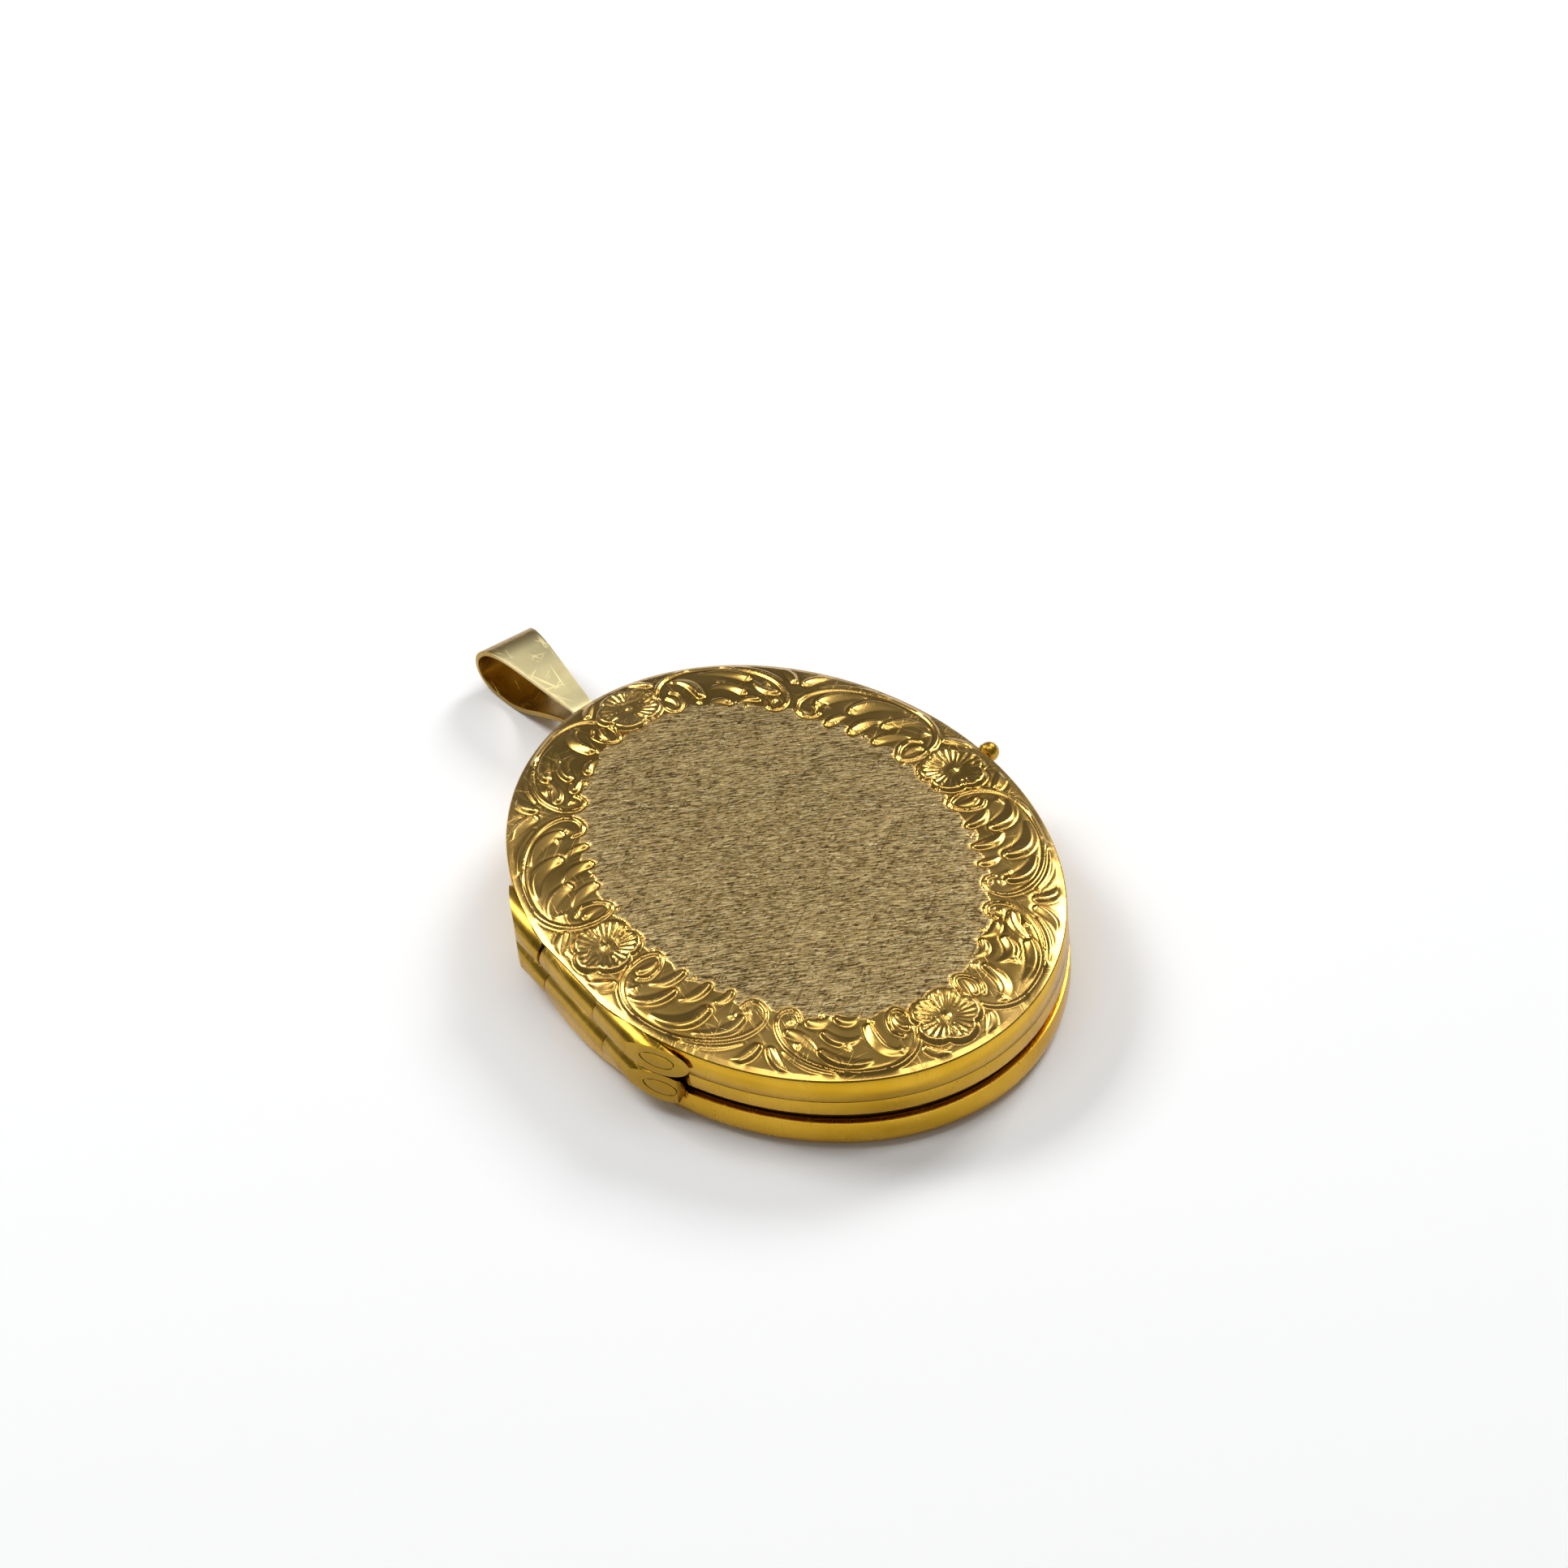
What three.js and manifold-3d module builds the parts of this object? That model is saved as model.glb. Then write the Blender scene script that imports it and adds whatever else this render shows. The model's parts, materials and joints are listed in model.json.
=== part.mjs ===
// An oval four-picture family locket, lying on its back. Millimetres.
// +X points to the opening side, +Y to the bail, +Z out of the engraved front.
// The origin is the middle of the back cover's flat outer face.
import * as THREE from "three";
import { mergeVertices } from "three/addons/utils/BufferGeometryUtils.js";
import Module from "manifold-3d";

// The oval and its three layers.
const HALF_LENGTH = 18;
const HALF_WIDTH = 13.75;
const BACK_TOP = 1.9;
const BAND_BOTTOM = 2.45;
const BAND_TOP = 3.45;
const FRONT_BOTTOM = 3.5;
const FRONT_RIM = 5.0;
const FRONT_CROWN = 5.95;
const SHEET = 0.45;
const BACK_EDGE_RADIUS = 0.8;
const BORDER_WIDTH = 4.24;

// The middle frame and the two lips that the covers snap over.
const BAND_WALL = 1.0;
const WEB_BOTTOM = 2.8;
const WEB_TOP = 3.1;
const LIP_INSET = 0.52;
const LIP_WALL = 0.35;
const LIP_REACH = 0.45;

// The two hinges.
const HINGE_X = -13.0;
const FRONT_HINGE_Z = 3.98;
const BACK_HINGE_Z = 2.02;
const KNUCKLE_RADIUS = 0.96;
const PIN_RADIUS = 0.45;
const RUNNING_GAP = 0.05;
const CHANNEL_RADIUS = 1.0;
const CHANNEL_SPAN = [-9.4, 8.1];
const LIP_BREAK = [-9.4, 9.4];
const FRONT_KNUCKLES = [-9.35, 8.05];
const BACK_KNUCKLES = [-8.4, 7.9];
const FRONT_CENTRE_KNUCKLE = [-2.6, 2.7];
const BACK_CENTRE_KNUCKLE = [-3.2, 2.6];
const SLOT_END_GAP = 0.25;
const FILING_CENTRE = [0.75, -0.2];
const FILING_RADIUS = 15.6;
const FILING_SPREAD = 0.72;

// What holds each picture: a rim, a clear window and a card, measured out from the backing.
const PICTURE_RADIUS = 15.7;
const RIM_OPENING = 15.2;
const CARD_LAYER = [0.03, 0.14];
const WINDOW_LAYER = [0.17, 0.37];
const RIM_LAYER = [0.04, 0.56];
const RIM_FLANGE = 0.16;
const FRONT_BACKING = 4.62;

// The bail, its ring, the thumb bead and the catches.
const BAIL_X = -0.95;
const BAIL_SHEET = 0.3;
const BAIL_PLAY = 0.07;
const BAIL_END_WIDTH = 1.3;
const BAIL_FOLD_WIDTH = 3.6;
const BAIL_FOLD_END = 28.8;
const RING_BAR_Y = 19.6;
const RING_Z = 2.93;
const RING_WIRE = 0.36;
const RING_HALF_WIDTH = 1.2;
const RING_CORNER = 0.45;
const RING_BED = 0.8;
const BEAD_RADIUS = 0.56;
const BEAD_CENTRE = [14.22, 0.9, 4.5];
const SNIB_HALF_LENGTH = 1.0;
const SNIB_HEIGHT = 0.24;

const SOLDER_GAP = 0.03;
const INNER_FILLET = 0.15;
const ABOVE_ALL = 7;
const OVAL_SEGMENTS = 64;
const ROUND_SEGMENTS = 24;

const wasm = await Module();
wasm.setup();

// A closed three.js geometry as a solid that can be cut and joined.
function solidOf(geometry) {
  const bare = geometry.clone();
  bare.deleteAttribute("normal");
  bare.deleteAttribute("uv");
  const merged = mergeVertices(bare, 1e-4);
  const vertProperties = merged.attributes.position.array;
  const triVerts = new Uint32Array(merged.index.array);
  return new wasm.Manifold(new wasm.Mesh({ numProp: 3, vertProperties, triVerts }));
}

function geometryOf(solid) {
  const mesh = solid.getMesh();
  const geometry = new THREE.BufferGeometry();
  geometry.setAttribute("position", new THREE.BufferAttribute(mesh.vertProperties, 3));
  geometry.setIndex(new THREE.BufferAttribute(mesh.triVerts, 1));
  geometry.computeVertexNormals();
  return geometry;
}

function boxSolid([x0, x1], [y0, y1], [z0, z1]) {
  const box = new THREE.BoxGeometry(x1 - x0, y1 - y0, z1 - z0);
  box.translate((x0 + x1) / 2, (y0 + y1) / 2, (z0 + z1) / 2);
  return solidOf(box);
}

// Half-width of the oval whose half-length is given: an even border, then a scaled centre.
function halfWidthAt(halfLength) {
  const inset = HALF_LENGTH - halfLength;
  if (inset <= BORDER_WIDTH) return HALF_WIDTH - inset;
  return (halfLength * (HALF_WIDTH - BORDER_WIDTH)) / (HALF_LENGTH - BORDER_WIDTH);
}

// A profile of [half-length, height] points, outer side first and rising, turned round the oval.
function ovalSolid(profile, segments = OVAL_SEGMENTS) {
  const points = profile.map(([radius, height]) => new THREE.Vector2(radius, height));
  const turned = new THREE.LatheGeometry(points, segments);
  turned.rotateX(Math.PI / 2);
  const position = turned.attributes.position;
  for (let i = 0; i < position.count; i++) {
    const radius = Math.hypot(position.getX(i), position.getY(i));
    if (radius > 0) position.setX(i, (position.getX(i) * halfWidthAt(radius)) / radius);
  }
  return solidOf(turned);
}

function ovalPlate(halfLength, bottom, top, segments) {
  return ovalSolid([[0, bottom], [halfLength, bottom], [halfLength, top], [0, top]], segments);
}

function ovalRing(outer, inner, bottom, top) {
  return ovalSolid([[inner, bottom], [outer, bottom], [outer, top], [inner, top], [inner, bottom]]);
}

// A round bar or tube along Y at the hinge line.
function hingeBar(radius, [y0, y1], z, bore = 0) {
  const profile = bore
    ? [[bore, y0], [radius, y0], [radius, y1], [bore, y1], [bore, y0]]
    : [[0, y0], [radius, y0], [radius, y1], [0, y1]];
  const points = profile.map(([r, y]) => new THREE.Vector2(r, y));
  const bar = new THREE.LatheGeometry(points, ROUND_SEGMENTS);
  bar.translate(HINGE_X, 0, z);
  return solidOf(bar);
}

// The block that the knuckle ends and the pin ends are filed to, so that they follow the oval.
function filedBlock() {
  const outline = new THREE.Shape();
  const [x, y] = FILING_CENTRE;
  outline.absarc(x, y, FILING_RADIUS, Math.PI - FILING_SPREAD, Math.PI + FILING_SPREAD, false);
  outline.closePath();
  const block = { depth: ABOVE_ALL, bevelEnabled: false, curveSegments: 28 };
  return solidOf(new THREE.ExtrudeGeometry(outline, block));
}

const filed = filedBlock();

function knuckle(span, z) {
  return hingeBar(KNUCKLE_RADIUS, span, z, PIN_RADIUS + RUNNING_GAP).intersect(filed);
}

// The room that a row of knuckles needs in the edge of a cover, open towards the middle frame.
function coverChannel(z, openTo) {
  const round = hingeBar(CHANNEL_RADIUS, CHANNEL_SPAN, z);
  const low = Math.min(z, openTo);
  const high = Math.max(z, openTo);
  const mouth = boxSolid([HINGE_X - 2, HINGE_X + CHANNEL_RADIUS], CHANNEL_SPAN, [low, high]);
  return round.add(mouth);
}

const frameCut = [-HALF_WIDTH - 2, HINGE_X + CHANNEL_RADIUS + RUNNING_GAP];
const frameChannel = boxSolid(frameCut, CHANNEL_SPAN, [0, ABOVE_ALL]);
const lipBreak = boxSolid(frameCut, LIP_BREAK, [0, ABOVE_ALL]);

const gold = { color: 0xb8902f, roughness: 0.25, metalness: 1 };
const innerGold = { color: 0xc59c3f, roughness: 0.3, metalness: 1 };
const clear = { color: 0xe9eef0, roughness: 0.08, metalness: 0 };
const paper = { color: 0xe8e0cc, roughness: 0.9, metalness: 0 };

const locket = new THREE.Group();

function addPiece(name, solid, look) {
  const mesh = new THREE.Mesh(geometryOf(solid), new THREE.MeshStandardMaterial(look));
  mesh.name = name;
  locket.add(mesh);
}

// A card, a window over it and the rim that keeps both in, stacked away from a backing.
function addPicture(name, backing, direction, rimOuter, cut) {
  const level = (distance) => backing + direction * distance;
  const sorted = (a, b) => [Math.min(a, b), Math.max(a, b)];
  const [cardLow, cardHigh] = sorted(...CARD_LAYER.map(level));
  const [windowLow, windowHigh] = sorted(...WINDOW_LAYER.map(level));
  const [rimLow, rimHigh] = sorted(...RIM_LAYER.map(level));
  addPiece(`${name}_picture_card`, ovalPlate(PICTURE_RADIUS, cardLow, cardHigh, 48), paper);
  addPiece(`${name}_picture_window`, ovalPlate(PICTURE_RADIUS, windowLow, windowHigh, 48), clear);
  const wall = ovalRing(rimOuter, PICTURE_RADIUS + 0.1, rimLow, rimHigh);
  const [flangeLow, flangeHigh] = sorted(level(RIM_LAYER[1]), level(RIM_LAYER[1] - RIM_FLANGE));
  const flange = ovalRing(rimOuter, RIM_OPENING, flangeLow, flangeHigh);
  addPiece(`${name}_picture_rim`, wall.add(flange).subtract(cut), innerGold);
}

// Back cover: a shallow pan with a flat back and a rounded lower edge.
const backProfile = [[0, 0]];
for (let step = 0; step <= 3; step++) {
  const angle = (step / 3) * (Math.PI / 2);
  const out = HALF_LENGTH - BACK_EDGE_RADIUS + BACK_EDGE_RADIUS * Math.sin(angle);
  backProfile.push([out, BACK_EDGE_RADIUS * (1 - Math.cos(angle))]);
}
const innerWall = HALF_LENGTH - SHEET;
backProfile.push([HALF_LENGTH, BACK_TOP], [innerWall, BACK_TOP]);
backProfile.push([innerWall, SHEET + INNER_FILLET], [innerWall - INNER_FILLET, SHEET], [0, SHEET]);
const backChannel = coverChannel(BACK_HINGE_Z, BACK_TOP + 0.3);
addPiece("back_cover", ovalSolid(backProfile).subtract(backChannel), gold);
addPicture("back", SHEET, 1, innerWall - INNER_FILLET, backChannel);

// Front cover: a straight wall, a border that slopes up and a nearly flat engraved centre.
const crownRise = FRONT_CROWN - FRONT_RIM;
const crownShape = [[0, 0], [0.9, 0.24], [2.4, 0.48], [BORDER_WIDTH, 0.66], [9, 0.87], [HALF_LENGTH, 1]];
const outerCrown = crownShape.map(([inset, rise]) => [HALF_LENGTH - inset, FRONT_RIM + rise * crownRise]);
const innerCrown = crownShape
  .slice(2)
  .map(([inset, rise]) => [HALF_LENGTH - inset, FRONT_RIM + rise * crownRise - SHEET]);
const frontProfile = [
  ...innerCrown.reverse(),
  [innerWall, FRONT_RIM - SHEET + 0.06],
  [innerWall, FRONT_BOTTOM],
  [HALF_LENGTH, FRONT_BOTTOM],
  ...outerCrown,
];
const frontChannel = coverChannel(FRONT_HINGE_Z, FRONT_BOTTOM - 0.3);
const [slotLow, slotHigh] = FRONT_CENTRE_KNUCKLE;
const slot = boxSolid(
  [-HALF_WIDTH - 2, HINGE_X - 0.5],
  [slotLow - RUNNING_GAP, slotHigh + SLOT_END_GAP],
  [FRONT_BOTTOM - 0.3, FRONT_RIM + 0.3],
);
addPiece("front_cover", ovalSolid(frontProfile).subtract(frontChannel).subtract(slot), gold);
addPicture("front", FRONT_BACKING, -1, innerWall - INNER_FILLET, frontChannel);

// Middle frame: a band all round and a web across it that backs the two middle pictures.
const bandInner = HALF_LENGTH - BAND_WALL;
const frameProfile = [
  [0, WEB_BOTTOM],
  [bandInner, WEB_BOTTOM],
  [bandInner, BAND_BOTTOM],
  [HALF_LENGTH, BAND_BOTTOM],
  [HALF_LENGTH, BAND_TOP],
  [bandInner, BAND_TOP],
  [bandInner, WEB_TOP],
  [0, WEB_TOP],
];
addPiece("middle_frame", ovalSolid(frameProfile).subtract(frameChannel), gold);
addPicture("middle_front", WEB_TOP, 1, bandInner - 0.1, frameChannel);
addPicture("middle_back", WEB_BOTTOM, -1, bandInner - 0.1, frameChannel);

// The two lips, each with a catch snib let into a notch on the opening side.
const lipOuter = HALF_LENGTH - LIP_INSET;
const snibOuter = HALF_WIDTH - LIP_INSET + 0.02;
const snibInner = HALF_WIDTH - LIP_INSET - LIP_WALL - 0.05;
const lips = [
  ["front", BAND_TOP + SOLDER_GAP, FRONT_BOTTOM + LIP_REACH],
  ["back", BACK_TOP - LIP_REACH, BAND_BOTTOM - SOLDER_GAP],
];
for (const [side, bottom, top] of lips) {
  const snibMiddle = side === "front" ? top - LIP_REACH / 2 : bottom + LIP_REACH / 2;
  const snibSpan = (grow) => [
    [snibInner - grow, snibOuter + grow],
    [-SNIB_HALF_LENGTH - grow, SNIB_HALF_LENGTH + grow],
    [snibMiddle - SNIB_HEIGHT / 2 - grow, snibMiddle + SNIB_HEIGHT / 2 + grow],
  ];
  const lip = ovalRing(lipOuter, lipOuter - LIP_WALL, bottom, top);
  const notch = boxSolid(...snibSpan(SOLDER_GAP));
  addPiece(`middle_${side}_lip`, lip.subtract(lipBreak).subtract(notch), innerGold);
  addPiece(`${side}_catch_snib`, boxSolid(...snibSpan(0)), innerGold);
}

// The hinges: each has a centre knuckle on the middle frame and two outer ones on its cover.
const hinges = [
  ["front", FRONT_HINGE_Z, FRONT_KNUCKLES, FRONT_CENTRE_KNUCKLE, SLOT_END_GAP],
  ["back", BACK_HINGE_Z, BACK_KNUCKLES, BACK_CENTRE_KNUCKLE, RUNNING_GAP],
];
for (const [side, z, [lowEnd, highEnd], [low, high], upperGap] of hinges) {
  addPiece(`middle_${side}_knuckle`, knuckle([low, high], z), gold);
  addPiece(`${side}_knuckle_upper`, knuckle([high + upperGap, highEnd], z), gold);
  addPiece(`${side}_knuckle_lower`, knuckle([lowEnd, low - RUNNING_GAP], z), gold);
  const pin = hingeBar(PIN_RADIUS, CHANNEL_SPAN, z);
  addPiece(`${side}_hinge_pin`, pin.intersect(filed), innerGold);
}

// The thumb bead on the opening side, bedded against the front cover's wall.
const bead = new THREE.SphereGeometry(BEAD_RADIUS, 16, 12);
bead.translate(...BEAD_CENTRE);
const caseOval = ovalPlate(HALF_LENGTH + SOLDER_GAP, -1, ABOVE_ALL, 128);
addPiece("front_thumb_bead", solidOf(bead).subtract(caseOval), gold);

// The bail ring: a square-shouldered wire loop soldered to the middle frame.
const ringPath = new THREE.CurvePath();
const ringPoint = (x, y) => new THREE.Vector3(BAIL_X + x, y, RING_Z);
const outer = RING_HALF_WIDTH;
const shoulder = RING_HALF_WIDTH - RING_CORNER;
const bendStart = RING_BAR_Y - RING_CORNER;
const foot = HALF_LENGTH - RING_BED;
const straight = (from, to) => ringPath.add(new THREE.LineCurve3(from, to));
const bend = (from, corner, to) => ringPath.add(new THREE.QuadraticBezierCurve3(from, corner, to));
straight(ringPoint(-outer, foot), ringPoint(-outer, bendStart));
bend(ringPoint(-outer, bendStart), ringPoint(-outer, RING_BAR_Y), ringPoint(-shoulder, RING_BAR_Y));
straight(ringPoint(-shoulder, RING_BAR_Y), ringPoint(shoulder, RING_BAR_Y));
bend(ringPoint(shoulder, RING_BAR_Y), ringPoint(outer, RING_BAR_Y), ringPoint(outer, bendStart));
straight(ringPoint(outer, bendStart), ringPoint(outer, foot));
const wireSection = new THREE.Shape().absarc(0, 0, RING_WIRE, 0, 2 * Math.PI, false);
const alongRing = { extrudePath: ringPath, steps: 40, curveSegments: 6 };
const ringWire = new THREE.ExtrudeGeometry(wireSection, alongRing);
addPiece("bail_ring", solidOf(ringWire).subtract(caseOval), gold);

// The bail: one strip folded into a drop-shaped loop round the ring's bar, wider at the fold.
const wrap = RING_WIRE + BAIL_PLAY + BAIL_SHEET / 2;
const turnIn = wrap * Math.SQRT1_2;
const bailRoute = [
  [RING_BAR_Y - wrap, RING_Z + BAIL_PLAY],
  [RING_BAR_Y - turnIn, RING_Z + turnIn],
  [RING_BAR_Y, RING_Z + wrap],
  [21.0, 3.5],
  [23.5, 3.52],
  [25.6, 3.46],
  [27.2, 3.06],
  [28.15, 2.3],
  [28.4, 1.4],
  [28.0, 0.65],
  [27.0, 0.26],
  [25.6, 0.2],
  [24.2, 0.55],
  [22.8, 1.17],
  [21.3, 1.8],
  [RING_BAR_Y, RING_Z - wrap],
  [RING_BAR_Y - turnIn, RING_Z - turnIn],
  [RING_BAR_Y - wrap, RING_Z - BAIL_PLAY],
];
const bailCurve = new THREE.CatmullRomCurve3(bailRoute.map(([y, z]) => new THREE.Vector3(BAIL_X, y, z)));
const stripSection = new THREE.Shape();
stripSection.moveTo(-BAIL_FOLD_WIDTH, -BAIL_SHEET / 2);
stripSection.lineTo(BAIL_FOLD_WIDTH, -BAIL_SHEET / 2);
stripSection.lineTo(BAIL_FOLD_WIDTH, BAIL_SHEET / 2);
stripSection.lineTo(-BAIL_FOLD_WIDTH, BAIL_SHEET / 2);
const strip = new THREE.ExtrudeGeometry(stripSection, { extrudePath: bailCurve, steps: 56 });
const taper = new THREE.Shape();
const taperSide = (side) => [
  [BAIL_X + (side * BAIL_END_WIDTH) / 2, RING_BAR_Y - 2 * wrap],
  [BAIL_X + (side * BAIL_END_WIDTH) / 2, RING_BAR_Y],
  [BAIL_X + (side * BAIL_FOLD_WIDTH) / 2, BAIL_FOLD_END],
];
taper.setFromPoints([...taperSide(-1), ...taperSide(1).reverse()].map(([x, y]) => new THREE.Vector2(x, y)));
const taperBlock = new THREE.ExtrudeGeometry(taper, { depth: ABOVE_ALL, bevelEnabled: false });
taperBlock.translate(0, 0, -1);
addPiece("bail", solidOf(strip).intersect(solidOf(taperBlock)), gold);

export default locket;
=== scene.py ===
# An oval four-picture family locket of 9 carat gold, lying closed on its back.
# Metres, in the part's own frame: +X is the opening side, +Y the bail, +Z out of the engraved front.
import json
import math

import bpy
import numpy as np
from mathutils import Matrix, Vector


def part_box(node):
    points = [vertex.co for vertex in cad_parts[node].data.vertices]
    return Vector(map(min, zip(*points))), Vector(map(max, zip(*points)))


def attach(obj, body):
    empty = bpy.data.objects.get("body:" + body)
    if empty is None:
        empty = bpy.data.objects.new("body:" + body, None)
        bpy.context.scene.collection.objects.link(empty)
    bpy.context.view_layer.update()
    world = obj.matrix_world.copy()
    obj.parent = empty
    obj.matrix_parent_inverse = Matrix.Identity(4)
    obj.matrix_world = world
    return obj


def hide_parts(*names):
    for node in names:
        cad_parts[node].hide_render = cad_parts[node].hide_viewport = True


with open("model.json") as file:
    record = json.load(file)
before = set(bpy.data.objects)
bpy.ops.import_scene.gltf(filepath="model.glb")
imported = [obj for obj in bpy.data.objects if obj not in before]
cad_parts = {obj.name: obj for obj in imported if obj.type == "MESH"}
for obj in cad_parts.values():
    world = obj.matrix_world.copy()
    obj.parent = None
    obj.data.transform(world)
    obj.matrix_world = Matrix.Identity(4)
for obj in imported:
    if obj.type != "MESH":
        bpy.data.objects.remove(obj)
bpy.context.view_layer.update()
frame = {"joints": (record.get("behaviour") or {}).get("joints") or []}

MM = 0.001


# ---------------------------------------------------------------------------------------------
# The camera. It looks down on the locket from the hinge side and the foot, a little rolled,
# from about 29 cm away.
VIEW_TURN = math.radians(-29.402)
VIEW_RISE = math.radians(41.811)
VIEW_ROLL = math.radians(-6.227)
VIEW_DISTANCE = 290.79 * MM
VIEW_AIM = (-0.339 * MM, 8.0 * MM)
LENS = 122.42

view_back = Vector((
    math.sin(VIEW_TURN) * math.cos(VIEW_RISE),
    -math.cos(VIEW_TURN) * math.cos(VIEW_RISE),
    math.sin(VIEW_RISE),
))
level_right = Vector((math.cos(VIEW_TURN), math.sin(VIEW_TURN), 0))
level_up = view_back.cross(level_right)
view_right = math.cos(VIEW_ROLL) * level_right + math.sin(VIEW_ROLL) * level_up
view_up = math.cos(VIEW_ROLL) * level_up - math.sin(VIEW_ROLL) * level_right
bpy.ops.object.camera_add(
    location=view_right * VIEW_AIM[0] + view_up * VIEW_AIM[1] + view_back * VIEW_DISTANCE
)
camera = bpy.context.object
camera.name = "camera"
camera.rotation_mode = "QUATERNION"
columns = np.array([view_right, view_up, view_back]).T
camera.rotation_quaternion = Matrix(columns.tolist()).to_quaternion()
camera.data.lens = LENS
camera.data.sensor_width = 36
camera.data.clip_start = 0.01
camera.data.clip_end = 10
bpy.context.scene.camera = camera


# ---------------------------------------------------------------------------------------------
# The floor and the light. A plain white table, a wide soft light and a long narrow one overhead,
# and two soft windows, one beyond the bail to the left and one on the opening side.
def clear_selection():
    if bpy.context.object and bpy.context.object.mode != "OBJECT":
        bpy.ops.object.mode_set(mode="OBJECT")
    bpy.ops.object.select_all(action="DESELECT")


clear_selection()
bpy.ops.mesh.primitive_grid_add(x_subdivisions=8, y_subdivisions=8, size=3, location=(0, 0, 0))
floor = bpy.context.object
floor.name = "floor"
floor_paint = bpy.data.materials.new("white_table")
floor_paint.use_nodes = True
nodes = floor_paint.node_tree.nodes
links = floor_paint.node_tree.links
shader = nodes["Principled BSDF"]
shader.inputs["Roughness"].default_value = 0.85
shader.inputs["Specular IOR Level"].default_value = 0.2
shader.inputs["Emission Color"].default_value = (1, 1, 1, 1)
shader.inputs["Emission Strength"].default_value = 0.03
place = nodes.new("ShaderNodeTexCoord")
cloud = nodes.new("ShaderNodeTexNoise")
cloud.inputs["Scale"].default_value = 9
tint = nodes.new("ShaderNodeMapRange")
tint.inputs["To Min"].default_value = 0.90
tint.inputs["To Max"].default_value = 0.93
links.new(place.outputs["Object"], cloud.inputs["Vector"])
links.new(cloud.outputs["Fac"], tint.inputs["Value"])
links.new(tint.outputs["Result"], shader.inputs["Base Color"])
floor.data.materials.append(floor_paint)

studio = bpy.data.worlds.new("studio")
bpy.context.scene.world = studio
studio.use_nodes = True
studio.node_tree.nodes["Background"].inputs["Color"].default_value = (0.95, 0.97, 1.0, 1)
studio.node_tree.nodes["Background"].inputs["Strength"].default_value = 0.16
bpy.context.scene.view_settings.view_transform = "Standard"


def soft_light(name, place, aim, width, height, power):
    bpy.ops.object.light_add(type="AREA", location=place)
    lamp = bpy.context.object
    lamp.name = name
    lamp.data.shape = "RECTANGLE"
    lamp.data.size = width
    lamp.data.size_y = height
    lamp.data.energy = power
    lamp.rotation_mode = "QUATERNION"
    lamp.rotation_quaternion = (Vector(aim) - Vector(place)).to_track_quat("-Z", "Y")
    return lamp


soft_light("left_window", (-0.18, 0.39, 0.42), (0, 0, 0), 0.24, 0.22, 1.8)
soft_light("right_window", (0.46, 0.16, 0.36), (0, 0, 0), 0.22, 0.20, 1.75)
soft_light("ceiling_light", (0.06, 0.10, 0.62), (0, 0, 0), 0.75, 0.62, 0.28)
soft_light("ceiling_strip", (0.055, -0.02, 0.585), (0, 0, 0), 0.10, 0.74, 1.05)


# ---------------------------------------------------------------------------------------------
# Back cover. A shallow pan of gold sheet, 0.45 mm thick, raised to a flat back with a rounded
# edge. Its top edge is burnished round, and its hinge side is cut out for the knuckles.
def side_of(node, end, axis):
    """One side of a piece's box in millimetres; end is 0 for the low side and 1 for the high."""
    return round(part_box(node)[end][axis] / MM, 3)


joint_at = {joint["name"]: [round(c / MM, 3) for c in joint["pos_m"]] for joint in frame["joints"]}
HALF_WIDTH = side_of("back_cover", 1, 0)
HALF_LENGTH = side_of("back_cover", 1, 1)
BACK_TOP = side_of("back_cover", 1, 2)
FRONT_BOTTOM = side_of("front_cover", 0, 2)
HINGE_X, _, BACK_HINGE_Z = joint_at["back_hinge"]
FRONT_HINGE_Z = joint_at["front_hinge"][2]
BORDER_WIDTH = 4.24
SHEET = 0.45
INNER_WALL = HALF_LENGTH - SHEET
BACK_EDGE_ROUND = 0.8
EDGE_EASE = 0.12
CHANNEL_RADIUS = 1.0
CHANNEL_SPAN = (-9.4, 8.1)
CHANNEL_HEIGHTS = {"back": (BACK_HINGE_Z, BACK_TOP + 0.3), "front": (FRONT_HINGE_Z, FRONT_BOTTOM - 0.3)}


def half_width_at(half_length):
    inset = HALF_LENGTH - half_length
    if inset <= BORDER_WIDTH:
        return HALF_WIDTH - inset
    return half_length * (HALF_WIDTH - BORDER_WIDTH) / (HALF_LENGTH - BORDER_WIDTH)


def eased(profile, ease):
    """The closed profile with each corner cut to a small round of that size."""
    rounded = []
    count = len(profile)
    for i, corner in enumerate(profile):
        before = np.array(profile[i - 1])
        after = np.array(profile[(i + 1) % count])
        here = np.array(corner)
        reach = [min(ease, 0.45 * np.linalg.norm(side - here)) for side in (before, after)]
        start = here + (before - here) / np.linalg.norm(before - here) * reach[0]
        end = here + (after - here) / np.linalg.norm(after - here) * reach[1]
        for share in (0, 0.33, 0.67, 1):
            bend = (1 - share) ** 2 * start + 2 * share * (1 - share) * here + share ** 2 * end
            rounded.append(tuple(bend))
    return rounded


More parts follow.
